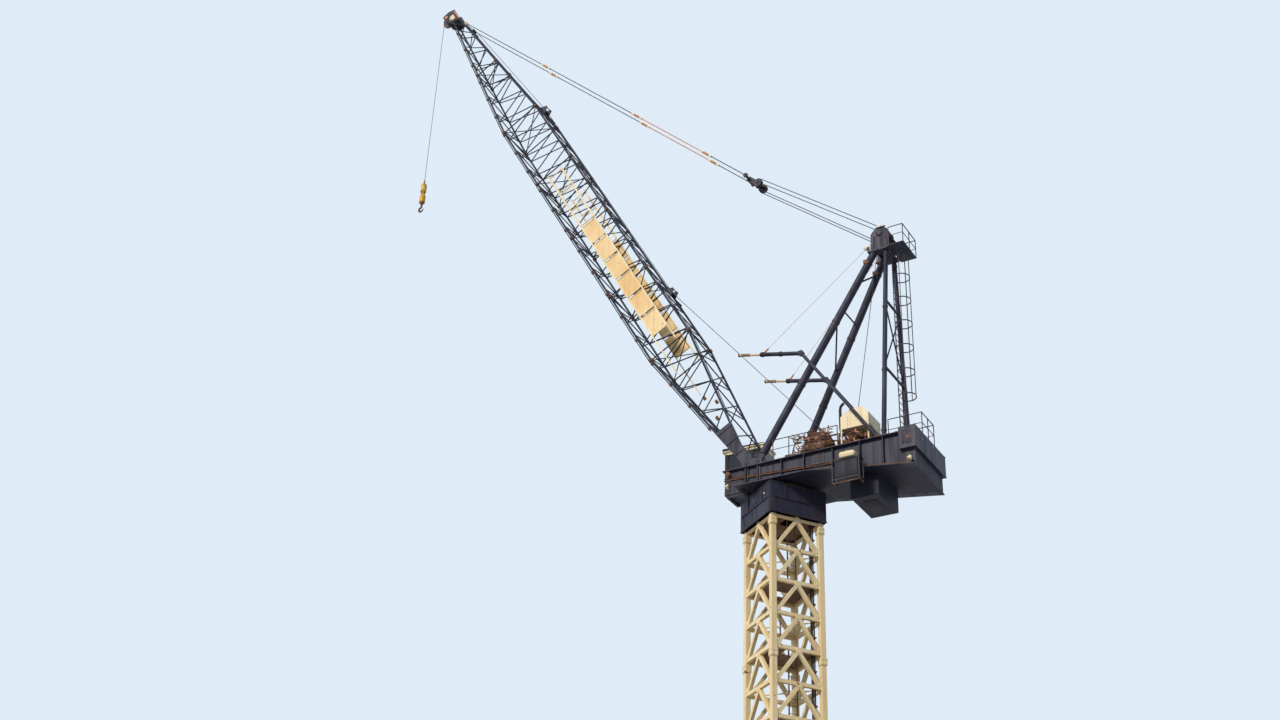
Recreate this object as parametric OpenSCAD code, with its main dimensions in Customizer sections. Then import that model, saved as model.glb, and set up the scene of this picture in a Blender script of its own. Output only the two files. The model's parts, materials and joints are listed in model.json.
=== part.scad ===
// Luffing-jib tower crane, modelled at half its real size.
// The mast stands on a cross base; the machinery deck turns on the tower top and carries the jib.

/* [Base] */
// Distance of each foot plate's centre from the mast axis, along X and along Y
base_reach = 1150; // [950:10:1500]
// Side of a square foot plate
foot_plate_w = 420; // [380:10:520]
// Thickness of the foot plates
foot_plate_t = 30; // [20:1:50]
// Spacing of the four anchor holes in a foot plate
anchor_spacing = 300; // [240:5:320]
// Diameter of the anchor holes
anchor_hole_d = 30; // [20:1:40]
// Height of the cross base
base_h = 275; // [220:5:400]
// Width of an arm of the cross base
arm_w = 200; // [160:5:240]
// Thickness of the arms' plates
arm_t = 20; // [12:1:30]

/* [Mast] */
// Distance between the centre lines of the mast legs
mast_w = 1100; // [900:10:1300]
// Width of a square mast leg
leg_w = 110; // [80:2:140]
// Height of one panel of bracing
panel_h = 704; // [600:4:800]
// Panels in one mast section
section_panels = 4; // [2:1:6]
// Sections in the mast
sections = 6; // [2:1:8]
// Width of the bracing bars
brace_w = 72; // [50:2:90]
// Height of a joint collar at the end of a section
collar_h = 150; // [100:5:200]
// How far a joint collar stands proud of its leg
collar_proud = 14; // [8:1:20]
// Thickness of the mast platforms
platform_t = 12; // [8:1:20]
// Width of the ladders
ladder_w = 210; // [180:5:260]
// Diameter of ladder rungs
rung_d = 14; // [10:1:20]
// Spacing of ladder rungs
rung_pitch = 150; // [130:5:180]

/* [Tower top] */
// Side of the square tower-top box
top_w = 1305; // [1260:5:1500]
// Height of the tower-top box
top_h = 680; // [500:10:900]
// Height of the box's lower edge above the mast
top_lift = 25; // [10:1:60]
// Thickness of the box's plates
top_t = 16; // [10:1:25]
// Outer diameter of the slewing ring
ring_d = 1150; // [1000:10:1240]
// Radial width of the slewing ring
ring_wall = 70; // [50:5:100]
// Height of each half of the slewing ring
ring_h = 45; // [30:1:70]
// Running gap between the two halves of the ring
ring_gap = 0.8; // [0.5:0.1:2]
// Slewing angle of the deck at rest, from +X
slew_rest = 35.14; // [0:0.01:90]

/* [Deck] */
// Distance of each main girder from the middle of the deck
girder_y = 717.5; // [680:2.5:800]
// Depth of a main girder over the ring
girder_h = 415; // [360:5:480]
// Depth of a main girder at its rear end
girder_rear_h = 780; // [600:5:900]
// Front end of the deck
deck_front = 1015; // [950:5:1200]
// Length of the slanting nose below the front end
nose_len = 280; // [200:5:340]
// Place, behind the mast axis, where the girders begin to deepen
knee_back = 860; // [700:10:1000]
// Place, behind the mast axis, where the girders' top flanges end
deck_back = 2950; // [2800:10:3100]
// Width of a girder flange
flange_w = 175; // [140:5:200]
// Thickness of a girder flange
flange_t = 20; // [14:1:28]
// Thickness of a girder web
web_t = 16; // [10:1:24]
// Thickness of the deck floor and underside plates
plate_t = 12; // [8:1:20]
// Length of the counterweight beam along the deck
cw_beam_l = 360; // [300:5:440]
// Depth of the counterweight beam
cw_beam_h = 485; // [420:5:540]
// How far the counterweight beam reaches out past each girder's middle
cw_beam_over = 95; // [90:1:160]
// Number of slabs of counterweight in the tail
cw_slabs = 4; // [2:1:6]

/* [A-frame] */
// Place of the front leg pins ahead of the mast axis
front_pin_x = 195; // [150:5:260]
// Height of the jib and front leg pins above the deck
pin_lift = 85; // [82:1:120]
// Radius of a front leg
front_leg_r = 82; // [60:1:95]
// Radius of a rear leg
rear_leg_r = 50; // [40:1:60]
// Place of the rear legs behind the mast axis
rear_leg_back = 2600; // [2500:10:2750]
// Place of the head's axle behind the mast axis
head_back = 2500; // [2400:10:2600]
// Height of the head's axle above the deck
head_up = 5335; // [4800:10:5800]
// Distance between the head's two side plates
head_gap = 420; // [360:10:500]
// Radius of the head's sheaves
head_sheave_r = 165; // [120:5:200]

/* [Jib] */
// Place of the jib pins ahead of the mast axis
jib_pin_x = 475; // [440:5:560]
// Length from the jib pins to the head sheave
jib_len = 20000; // [17000:100:22000]
// Luffing angle at rest, above the horizontal
luff_rest = 60; // [50:0.5:70]
// Length of the tapered foot section
jib_foot_l = 4150; // [3600:50:4800]
// Length of the tapered head section
jib_head_l = 6200; // [5000:50:7000]
// Half the depth of the jib, between chord centres
jib_half_d = 550; // [450:5:650]
// Half the width of the jib, between chord centres
jib_half_w = 525; // [450:5:600]
// Half the depth of the jib at its head
head_half_d = 100; // [80:5:140]
// Half the width of the jib at its head
head_half_w = 170; // [150:5:220]
// Radius of a chord
chord_r = 26; // [20:1:34]
// Radius of a lacing bar
lace_r = 15; // [10:1:20]
// Length of one zigzag of lacing along a chord
lace_pitch = 875; // [700:5:1100]
// Length of the foot plates past the pin
foot_len = 1150; // [1000:10:1300]
// Thickness of a foot plate
foot_t = 50; // [36:2:64]
// Radius of the round end of a jib foot plate
jib_eye_r = 75; // [60:1:76]
// Radius of the round end of a front leg's foot
leg_eye_r = 66; // [56:1:72]
// Radius of the jib pins and front leg pins
pin_r = 36; // [28:1:40]
// Running clearance round a pin
pin_gap = 0.5; // [0.3:0.1:1]
// Side clearance between a foot plate and its lugs
lug_gap = 5; // [5:0.5:8]
// Thickness of a lug
lug_t = 25; // [16:1:32]
// Radius of the jib head sheave
jib_sheave_r = 225; // [180:5:260]

/* [Ropes and hook] */
// Diameter of the wire ropes
rope_d = 14; // [10:1:20]
// Length of the falls' block at the end of the pendants
bridle_l = 560; // [400:10:700]
// Distance of each pendant from the middle of the jib
pendant_y = 200; // [160:5:240]
// Diameter of a pendant
pendant_d = 22; // [16:1:30]
// Length of each pendant
pendant_l = 12540; // [11000:10:13000]
// Length of hoist rope hanging from the head sheave to the hook's weight
hang_l = 5700; // [4000:50:7000]
// Diameter of the hook's weight
weight_d = 165; // [140:5:200]
// Height of the hook's weight
weight_h = 650; // [500:10:760]

/* [Hidden] */

// Heights and places that follow from the sizes above
mast_h = sections * section_panels * panel_h;
mast_top = base_h + mast_h;
top_z = top_lift + top_h;
ring_z = top_z + ring_h + ring_gap;
deck_bottom = ring_z + ring_h;
deck_z = deck_bottom + girder_h;
floor_top = deck_z - flange_t + plate_t;
pin_z = deck_z + pin_lift;
rear_end = deck_back + cw_beam_l - 55;
beam_z = deck_z + 80 - cw_beam_h;
head_z = deck_z + head_up;
// Clearance between pieces that rest on each other
seat = 0.3;
// Clearance of a rope over the groove or roller that it runs on
rope_gap = 0.6;
leg_face = mast_w / 2 - leg_w / 2;

// Shared shapes

// A straight bar between two points, with n flat sides, turned by spin about its own length
module bar(a, b, r, n = 8, spin = 0) {
    v = b - a;
    l = norm(v);
    translate(a) rotate([0, acos(v[2] / l), atan2(v[1], v[0])]) rotate([0, 0, spin])
        cylinder(r = r, h = l, $fn = n);
}

// A straight round tube or rope between two points
module rod(a, b, r, spin = 0) {
    bar(a, b, r, 24, spin);
}

// A cylinder along Y, centred on a point
module y_pin(x, y, z, r, l) {
    translate([x, y, z]) rotate([90, 0, 0]) cylinder(r = r, h = l, center = true, $fn = 48);
}

// A box given by two opposite corners
module block(a, b) {
    translate(a) cube(b - a);
}

// A plate in the XZ plane, of thickness t, centred on y
module side_plate(points, y, t) {
    translate([0, y, 0]) rotate([90, 0, 0]) linear_extrude(height = t, center = true) polygon(points);
}

// Moves the superstructure on to the mast, turned to its rest angle
module on_mast() {
    translate([0, 0, mast_top]) rotate([0, 0, slew_rest]) children();
}

// Moves the jib's own frame, with X along the jib and Z out of its back, on to the jib pins
module on_jib_pins() {
    on_mast() translate([jib_pin_x, 0, pin_z]) rotate([0, -luff_rest, 0]) children();
}

// Radius of the bottom of a sheave's groove, from its outer radius and width
function groove_r(r, w) = r - w * 0.45;

// A sheave along Y with a V groove, and a bore for its axle
module sheave(x, y, z, r, w, bore) {
    translate([x, y, z]) rotate([90, 0, 0]) rotate_extrude($fn = 64)
        polygon([[bore, -w / 2], [r, -w / 2], [r, -w / 2 + 3], [groove_r(r, w), -w * 0.12],
            [groove_r(r, w), w * 0.12], [r, w / 2 - 3], [r, w / 2], [bore, w / 2]]);
}

// Where a rope from p leaves a round of radius r centred on c, both given as [x, z]; side is 1 or -1
function rope_off(c, p, r, side) = let (d = p - c, a = atan2(d[1], d[0]) + side * acos(r / norm(d)))
    c + r * [cos(a), sin(a)];

// Base

// One beam of the cross base, along X from foot plate to foot plate
module base_beam() {
    reach = base_reach * sqrt(2) + 60;
    web_end = base_reach * sqrt(2) - foot_plate_w * 0.45;
    toe_end = web_end + 130;
    toe_top = foot_plate_t + 40;
    block([-reach, -arm_w / 2, 0], [reach, arm_w / 2, arm_t]);
    for (s = [-1, 1]) side_plate([[-toe_end, arm_t - 1], [toe_end, arm_t - 1], [toe_end, toe_top],
        [web_end, base_h - 1], [-web_end, base_h - 1], [-toe_end, toe_top]], s * (arm_w / 2 - arm_t), arm_t);
    block([-web_end + 2, -arm_w / 2, base_h - arm_t], [web_end - 2, arm_w / 2, base_h]);
}

module base_frame() {
    color("#e6d9b0") difference() {
        union() {
            for (a = [45, 135]) rotate([0, 0, a]) base_beam();
            for (x = [-1, 1], y = [-1, 1])
                translate([x * base_reach, y * base_reach, foot_plate_t / 2])
                    cube([foot_plate_w, foot_plate_w, foot_plate_t], center = true);
        }
        for (x = [-1, 1], y = [-1, 1], hx = [-1, 1], hy = [-1, 1])
            translate([x * base_reach + hx * anchor_spacing / 2, y * base_reach + hy * anchor_spacing / 2, -1])
                cylinder(d = anchor_hole_d, h = foot_plate_t + 2, $fn = 32);
    }
}

// Mast

module mast_legs() {
    color("#ead9a4") for (x = [-1, 1], y = [-1, 1]) translate([x * mast_w / 2, y * mast_w / 2, base_h]) {
        translate([0, 0, mast_h / 2]) cube([leg_w, leg_w, mast_h], center = true);
        for (k = [1 : sections]) translate([0, 0, k * section_panels * panel_h - brace_w - collar_h])
            translate([0, 0, collar_h / 2 - 10])
                cube([leg_w + 2 * collar_proud, leg_w + 2 * collar_proud, collar_h], center = true);
    }
}

// The outline of one side's bracing: a level bar and an inverted V in each panel
module bracing_outline() {
    intersection() {
        translate([-leg_face, 0]) square([2 * leg_face, mast_h]);
        union() {
            for (k = [0 : sections * section_panels]) {
                low = k == 0 ? 0 : k * panel_h - brace_w / 2;
                translate([-leg_face, low]) square([2 * leg_face, brace_w]);
            }
            for (k = [0 : sections * section_panels - 1], s = [-1, 1]) {
                rise = panel_h - brace_w / 2;
                translate([s * leg_face, k * panel_h]) rotate(atan2(rise, -s * leg_face))
                    translate([-brace_w, -brace_w / 2]) square([norm([rise, leg_face]) + brace_w, brace_w]);
            }
        }
    }
}

// One braced side of the mast, turned about the mast axis
module mast_side(angle) {
    color("#ead9a4") rotate([0, 0, angle]) translate([0, -mast_w / 2, base_h]) rotate([90, 0, 0])
        linear_extrude(height = brace_w, center = true) bracing_outline();
}

module mast_front_bracing() {
    mast_side(90);
}

module mast_back_bracing() {
    mast_side(270);
}

module mast_left_bracing() {
    mast_side(180);
}

module mast_right_bracing() {
    mast_side(0);
}

// Platforms sit on the level bars of every second panel
platform_gap = 2 * panel_h;
platforms = floor(sections * section_panels / 2);
platform_in = mast_w / 2 - brace_w / 2 - 1;
tab_w = 260;
hatch_out = 345;
hatch_l = 260;

module mast_platforms() {
    color("#6b4a33") for (k = [0 : platforms]) {
        side = k % 2 == 0 ? -1 : 1;
        low = k == 0 ? brace_w : k * platform_gap + brace_w / 2;
        translate([0, 0, base_h + low]) difference() {
            union() {
                block([-platform_in, -leg_face + 1, 0], [platform_in, leg_face - 1, platform_t]);
                block([-leg_face + 1, -platform_in, 0], [leg_face - 1, platform_in, platform_t]);
                for (a = [0 : 90 : 270]) rotate([0, 0, a])
                    block([0, -tab_w / 2, 0], [mast_w / 2, tab_w / 2, platform_t]);
            }
            if (k > 0) translate([side * (hatch_out - hatch_l / 2), 0, 0])
                cube([hatch_l, ladder_w + 90, 3 * platform_t], center = true);
        }
    }
}

module mast_ladders() {
    color("#5a4636") for (k = [0 : platforms - 1]) {
        side = k % 2 == 0 ? 1 : -1;
        low = base_h + (k == 0 ? brace_w : k * platform_gap + brace_w / 2) + platform_t;
        high = base_h + (k + 1) * platform_gap + brace_w / 2 + platform_t;
        stile = 22;
        at = side * (hatch_out - stile / 2);
        for (y = [-1, 1]) translate([at, y * (ladder_w - stile) / 2, (low + high) / 2])
            cube([stile, stile, high - low], center = true);
        for (z = [low + rung_pitch * 0.8 : rung_pitch : high - 60])
            bar([at, -ladder_w / 2 + stile / 2, z], [at, ladder_w / 2 - stile / 2, z], rung_d / 2, 6);
    }
}

// Tower top and slewing ring

module tower_top() {
    inner = top_w - 2 * top_t;
    color("#1f2b45") translate([0, 0, mast_top]) {
        difference() {
            translate([-top_w / 2, -top_w / 2, top_lift]) cube([top_w, top_w, top_h]);
            translate([-inner / 2, -inner / 2, top_lift - 1]) cube([inner, inner, top_h - top_t + 1]);
            cylinder(d = ring_d - 2 * ring_wall - 60, h = top_z + 1, $fn = 64);
        }
        for (x = [-1, 1], y = [-1, 1]) {
            translate([x * mast_w / 2, y * mast_w / 2, (top_z - top_t) / 2])
                cube([leg_w, leg_w, top_z - top_t], center = true);
            gusset = (inner - mast_w - leg_w) / 2 + 2;
            for (a = [0, 90]) rotate([0, 0, a])
                translate([x * (mast_w / 2 + leg_w / 2 + gusset / 2 - 1), y * mast_w / 2, (top_z - top_t + top_lift) / 2])
                    cube([gusset, top_t, top_z - top_t - top_lift], center = true);
        }
        for (a = [0 : 90 : 270]) rotate([0, 0, a]) {
            translate([-top_w / 2 + 40, -top_w / 2 - 22, top_lift + top_h * 0.48]) cube([top_w - 80, 24, 18]);
            for (z = [top_lift, top_z - 20])
                translate([-top_w / 2 - 12, -top_w / 2 - 12, z]) cube([top_w + 24, 13, 20]);
        }
        translate([0, 0, top_z]) difference() {
            cylinder(d = ring_d, h = ring_h, $fn = 96);
            translate([0, 0, -1]) cylinder(d = ring_d - 2 * ring_wall, h = ring_h + 2, $fn = 96);
        }
    }
}

module slew_ring() {
    color("#6a3d24") on_mast() translate([0, 0, ring_z]) difference() {
        cylinder(d = ring_d - 30, h = ring_h, $fn = 96);
        translate([0, 0, -1]) cylinder(d = ring_d - 2 * ring_wall - 30, h = ring_h + 2, $fn = 96);
    }
}

// Machinery deck

girder_front_low = deck_front - nose_len;
rear_low = deck_z - girder_rear_h;
// Height of the girders' lower edge at a distance back from the mast axis
function girder_low(back) = back < knee_back ? deck_bottom
    : deck_bottom - (girder_rear_h - girder_h) * (back - knee_back) / (rear_end - knee_back);

// One main girder: a web, a top flange, bottom flanges that follow the web, and stiffeners
module girder(y) {
    color("#1f2b45") on_mast() {
        side_plate([[deck_front, deck_z - flange_t], [-deck_back, deck_z - flange_t], [-deck_back, beam_z],
            [-rear_end, beam_z], [-rear_end, rear_low + flange_t - 1], [-knee_back, deck_bottom + flange_t - 1],
            [girder_front_low, deck_bottom + flange_t - 1]], y, web_t);
        block([-deck_back, y - flange_w / 2, deck_z - flange_t], [deck_front, y + flange_w / 2, deck_z]);
        side_plate([[girder_front_low, deck_bottom], [girder_front_low, deck_bottom + flange_t],
            [-knee_back, deck_bottom + flange_t], [-rear_end, rear_low + flange_t],
            [-rear_end, rear_low], [-knee_back, deck_bottom]], y, flange_w);
        for (x = [jib_pin_x, front_pin_x, -350, -knee_back, -1500, -2100, -rear_leg_back]) {
            block([x - 7, y - flange_w / 2 + 12, girder_low(-x) + 12],
                [x + 7, y + flange_w / 2 - 12, deck_z - flange_t + 1]);
        }
    }
    girder_lugs(y);
}

// The lugs and pins that carry the jib and a front leg on one girder
module girder_lugs(y) {
    half = foot_t / 2 + lug_gap;
    color("#1f2b45") on_mast() for (s = [-1, 1]) difference() {
        side_plate([[jib_pin_x + 110, deck_z - 1], [jib_pin_x + 75, pin_z + 30], [jib_pin_x + 30, pin_z + 70],
            [front_pin_x - 30, pin_z + 70], [front_pin_x - 75, pin_z + 30], [front_pin_x - 110, deck_z - 1]],
            y + s * (half + lug_t / 2), lug_t);
        for (x = [jib_pin_x, front_pin_x]) y_pin(x, y, pin_z, pin_r, 4 * half + 4 * lug_t);
    }
    color("#b5663c") on_mast() for (x = [jib_pin_x, front_pin_x])
        y_pin(x, y, pin_z, pin_r, 2 * half + 2 * lug_t + 24);
}

module left_girder() {
    girder(girder_y);
}

module right_girder() {
    girder(-girder_y);
}

underside_y = girder_y - web_t / 2;
floor_back = 2300;

// The closed underside, with cross frames between the girders
module deck_underside() {
    color("#141b2c") on_mast() {
        side_plate([[girder_front_low, deck_bottom + flange_t], [girder_front_low, deck_bottom],
            [-knee_back, deck_bottom], [-rear_end, rear_low], [-rear_end, rear_low + flange_t],
            [-knee_back, deck_bottom + flange_t]], 0, 2 * girder_y - flange_w);
        side_plate([[deck_front, deck_z - flange_t], [deck_front - plate_t * 1.5, deck_z - flange_t],
            [girder_front_low - plate_t * 1.5, deck_bottom + flange_t], [girder_front_low, deck_bottom + flange_t]],
            0, 2 * underside_y);
        for (back = [60 - ring_d / 2, ring_d / 2 - 60, 1400, floor_back + 20])
            side_plate([[-back - 10, girder_low(back + 10) + flange_t], [10 - back, girder_low(back - 10) + flange_t],
                [10 - back, deck_z - flange_t], [-back - 10, deck_z - flange_t]], 0, 2 * underside_y);
        side_plate([[-rear_end, rear_low + flange_t],
            [plate_t - rear_end, girder_low(rear_end - plate_t) + flange_t], [plate_t - rear_end, beam_z],
            [-rear_end, beam_z]], 0, 2 * underside_y);
    }
}

// The floor plates between the girders, stopping ahead of the tail
module deck_floor() {
    color("#3a3f4c") on_mast()
        block([-floor_back, -girder_y + flange_w / 2, deck_z - flange_t],
            [deck_front, girder_y - flange_w / 2, floor_top]);
}

// One straight run of handrail with a top rail, a mid rail and posts
module handrail(a, b, h = 500, posts = 3) {
    bar(a + [0, 0, h], b + [0, 0, h], 11, 6);
    bar(a + [0, 0, h * 0.52], b + [0, 0, h * 0.52], 8, 6);
    for (k = [0 : posts - 1]) {
        p = a + (b - a) * k / (posts - 1);
        bar(p, p + [0, 0, h + 4], 11, 6);
    }
}

// Front and rear ends of the deck's handrails
rail_x = [-165, -1625];

module deck_handrails() {
    rail_y = girder_y + flange_w / 2 - 16;
    color("#1f2b45") on_mast() for (s = [-1, 1])
        handrail([rail_x[0], s * rail_y, deck_z], [rail_x[1], s * rail_y, deck_z], 460, 5);
}

module counterweight_beam() {
    out = girder_y + cw_beam_over;
    color("#1f2b45") on_mast() {
        block([-deck_back - cw_beam_l, -out, beam_z], [-deck_back, out, beam_z + cw_beam_h]);
        for (y = [-1, 1], z = [beam_z, beam_z + cw_beam_h - 16])
            block([-deck_back - cw_beam_l - 12, y * out - 8, z], [-deck_back - cw_beam_l, y * out + 8, z + 16]);
    }
}

module counterweight_slabs() {
    step = (deck_back - floor_back - 60) / cw_slabs;
    slab_w = 2 * girder_y - flange_w - 10;
    color("#8a8780") on_mast() for (k = [0 : cw_slabs - 1]) {
        back = deck_back - 20 - k * step;
        front = back - step + 14;
        side_plate([[-back, girder_low(back) + flange_t + seat], [-front, girder_low(front) + flange_t + seat],
            [-front, deck_z - 60], [-back, deck_z - 60]], 0, slab_w);
    }
}

// The closed pit that hangs under the deck below the machinery
pit_x = [1765, 2355];
pit_low = 90;
pit_w = 1000;

module machinery_pit() {
    color("#141b2c") on_mast() side_plate([[-pit_x[0], pit_low], [-pit_x[1], pit_low],
        [-pit_x[1], girder_low(pit_x[1]) - seat], [-pit_x[0], girder_low(pit_x[0]) - seat]], 0, pit_w);
}

// Machinery

drum_x = -1050;
drum_z = deck_z + 330;
drum_r = 225;
drum_half = 400;
shaft_r = 34;

module winch_frame() {
    color("#6d3c22") on_mast() {
        for (s = [-1, 1]) difference() {
            side_plate([[drum_x - 330, floor_top], [drum_x + 330, floor_top], [drum_x + 330, deck_z + 60],
                [drum_x + 90, drum_z + 60], [drum_x + 40, drum_z + 110], [drum_x - 40, drum_z + 110],
                [drum_x - 90, drum_z + 60], [drum_x - 330, deck_z + 60]], s * (drum_half + 60), 40);
            y_pin(drum_x, s * (drum_half + 60), drum_z, shaft_r + pin_gap, 60);
        }
        for (x = [-300, 230])
            block([drum_x + x, -drum_half - 41, floor_top], [drum_x + x + 70, drum_half + 41, deck_z + 50]);
    }
}

module hoist_drum() {
    color("#7c4a2c") on_mast() translate([drum_x, 0, drum_z]) rotate([90, 0, 0]) rotate_extrude($fn = 64)
        polygon([[0, -drum_half - 90], [shaft_r, -drum_half - 90], [shaft_r, -drum_half - 20],
            [drum_r + 75, -drum_half - 20], [drum_r + 75, -drum_half], [drum_r, -drum_half],
            [drum_r, drum_half], [drum_r + 75, drum_half], [drum_r + 75, drum_half + 20],
            [shaft_r, drum_half + 20], [shaft_r, drum_half + 90], [0, drum_half + 90]]);
}

luff_drum = [-1640, -350, deck_z + 250];
luff_drum_r = 140;

module luffing_winch() {
    color("#6d3c22") on_mast() {
        y_pin(luff_drum[0], luff_drum[1], luff_drum[2], luff_drum_r, 320);
        for (s = [-1, 1]) {
            y_pin(luff_drum[0], luff_drum[1] + s * 170, luff_drum[2], 195, 20);
            side_plate([[luff_drum[0] - 190, floor_top], [luff_drum[0] + 190, floor_top],
                [luff_drum[0] + 60, luff_drum[2] + 50], [luff_drum[0] - 60, luff_drum[2] + 50]],
                luff_drum[1] + s * 200, 40);
        }
    }
}

engine_x = [-2225, -1600];
engine_y = [-60, 560];

module engine() {
    mid = (engine_y[0] + engine_y[1]) / 2;
    color("#6b4026") on_mast() {
        block([engine_x[0] + 30, mid - 170, floor_top], [engine_x[1] - 30, mid + 170, floor_top + 60]);
        block([engine_x[0] + 60, mid - 130, floor_top + 59], [engine_x[1] - 90, mid + 130, deck_z + 330]);
        for (k = [0 : 3]) y_pin(engine_x[0] + 120 + k * 110, mid, deck_z + 300, 46, 400);
        translate([engine_x[1] - 91, mid, deck_z + 200]) rotate([0, 90, 0]) cylinder(r = 150, h = 50, $fn = 32);
    }
}

module engine_canopy() {
    color("#e3d3a0") on_mast() {
        side_plate([[engine_x[1], deck_z + 470], [engine_x[1], deck_z + 760], [engine_x[1] - 210, deck_z + 910],
            [engine_x[0] + 130, deck_z + 910], [engine_x[0], deck_z + 760], [engine_x[0], deck_z + 470]],
            (engine_y[0] + engine_y[1]) / 2, engine_y[1] - engine_y[0]);
        for (x = [engine_x[0] + 15, engine_x[1] - 15], y = [engine_y[0] + 15, engine_y[1] - 15])
            block([x - 15, y - 15, floor_top], [x + 15, y + 15, deck_z + 471]);
    }
}

// The electrical cabinet's box hangs beside the girder under a rounded hood
cabinet_x = [-2180, -1600];
cabinet_z = [220, 760];
cabinet_hood = [830, 915];

module electrical_cabinet() {
    out = girder_y + flange_w / 2 + 5;
    rear = cabinet_x[0] - 30;
    front = cabinet_x[1] + 30;
    color("#d8c79a") on_mast() {
        block([cabinet_x[0], out + 20, cabinet_z[0]], [cabinet_x[1], out + 230, cabinet_z[1]]);
        side_plate([[rear, cabinet_z[1]], [front, cabinet_z[1]], [front, cabinet_hood[0]],
            [front - 110, cabinet_hood[1]], [rear + 110, cabinet_hood[1]], [rear, cabinet_hood[0]]], out + 125, 250);
        for (x = [cabinet_x[0] + 130, cabinet_x[1] - 120])
            block([x - 20, girder_y + web_t / 2, cabinet_z[1] + 30], [x + 20, out + 21, cabinet_z[1] + 90]);
    }
}

// Cab

cab_x = [875, 1825];
cab_y = [-1400, -830];
cab_z = [1525, 2590];
cab_wall = 14;
// The windows: lower and upper edges, places and width along the side, edges of the front and rear ones
sill_z = cab_z[0] + 330;
front_sill_z = cab_z[0] + 120;
lintel_z = cab_z[1] - 90;
side_window_x = [cab_x[0] + 90, cab_x[0] + 500];
side_window_l = 360;
front_window_y = [cab_y[0] + 70, cab_y[1] - 70];
rear_window_y = [cab_y[0] + 90, cab_y[1] - 90];
pane_t = 4;
pane_inset = 5;

// The window openings, cut through all four sides
module cab_windows() {
    for (x = side_window_x)
        block([x, cab_y[0] - 1, sill_z], [x + side_window_l, cab_y[1] + 1, lintel_z]);
    block([cab_x[1] - cab_wall - 1, front_window_y[0], front_sill_z], [cab_x[1] + 1, front_window_y[1], lintel_z]);
    block([cab_x[0] - 1, rear_window_y[0], sill_z], [cab_x[0] + cab_wall + 1, rear_window_y[1], lintel_z]);
}

module cab_body() {
    color("#dccb9c") on_mast() difference() {
        union() {
            block([cab_x[0], cab_y[0], cab_z[0]], [cab_x[1], cab_y[1], cab_z[1]]);
            block([cab_x[0] - 25, cab_y[0] - 25, cab_z[1] - 1], [cab_x[1] + 60, cab_y[1] + 25, cab_z[1] + 30]);
        }
        block([cab_x[0] + cab_wall, cab_y[0] + cab_wall, cab_z[0] + cab_wall],
            [cab_x[1] - cab_wall, cab_y[1] - cab_wall, cab_z[1] - cab_wall]);
        cab_windows();
    }
}

// Panes stand inside the window openings
module cab_glass() {
    deep = pane_inset + pane_t;
    color("#243240") on_mast() {
        for (x = side_window_x, y = [cab_y[0] + pane_inset, cab_y[1] - deep])
            block([x, y, sill_z], [x + side_window_l, y + pane_t, lintel_z]);
        block([cab_x[1] - deep, front_window_y[0], front_sill_z],
            [cab_x[1] - pane_inset, front_window_y[1], lintel_z]);
        block([cab_x[0] + pane_inset, rear_window_y[0], sill_z], [cab_x[0] + deep, rear_window_y[1], lintel_z]);
    }
}

module cab_bracket() {
    near = -girder_y - web_t / 2;
    rails = [cab_y[0] + 40, cab_y[1] - 60];
    color("#1f2b45") on_mast() {
        for (x = [620, 930]) {
            block([x - 30, cab_y[0] + 40, deck_z - 120], [x + 30, near, deck_z - 40]);
            for (y = rails) block([x - 25, y, deck_z - 41], [x + 25, y + 50, cab_z[0] - 59]);
        }
        for (y = rails) block([590, y, cab_z[0] - 60], [cab_x[1] - 40, y + 50, cab_z[0]]);
        for (x = [595, cab_x[0] + 20, cab_x[1] - 90])
            block([x, rails[0] + 49, cab_z[0] - 60], [x + 50, rails[1] + 1, cab_z[0]]);
    }
}

// A-frame

// The legs end flat under the head's base plate
head_base_z = head_z - 520;
head_base_t = 40;
head_side_y = head_gap / 2 - 20;
front_top = [-head_back + 130, head_gap / 2 + 20, head_base_z];
rear_top = [-head_back - 150, head_gap / 2 + 20, head_base_z];
front_foot = [front_pin_x, girder_y, pin_z];
// Length of the flat plate between a front leg's pin and its round tube
foot_plate_l = 240;

// Places of the backstop buffers
buffer_y = 640;
elbow = [-780, buffer_y, 3700];
buffer_tip = [680, buffer_y, 4045];
strut_foot = [-2440, girder_y - 57, deck_z + 60];
buffer_r = 45;
buffer_rod_r = 26;
strut_r = 36;
// Length of a buffer's barrel; its rod's length and travel, and the space left behind the rod
barrel_l = 1000;
buffer_rod_l = 780;
buffer_travel = 250;
bore_spare = 10;

// Share of the way up the front leg at which the buffer strut passes it, seen from the side
leg_run = front_top - front_foot;
strut_run = elbow - strut_foot;
pass_at = ((strut_foot[0] - front_foot[0]) * strut_run[2] - (strut_foot[2] - front_foot[2]) * strut_run[0])
    / (leg_run[0] * strut_run[2] - leg_run[2] * strut_run[0]);
pass_point = front_foot + pass_at * leg_run;
pass_share = (pass_point[2] - strut_foot[2]) / strut_run[2];
strut_inner_y = strut_foot[1] + pass_share * strut_run[1] - strut_r;

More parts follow.
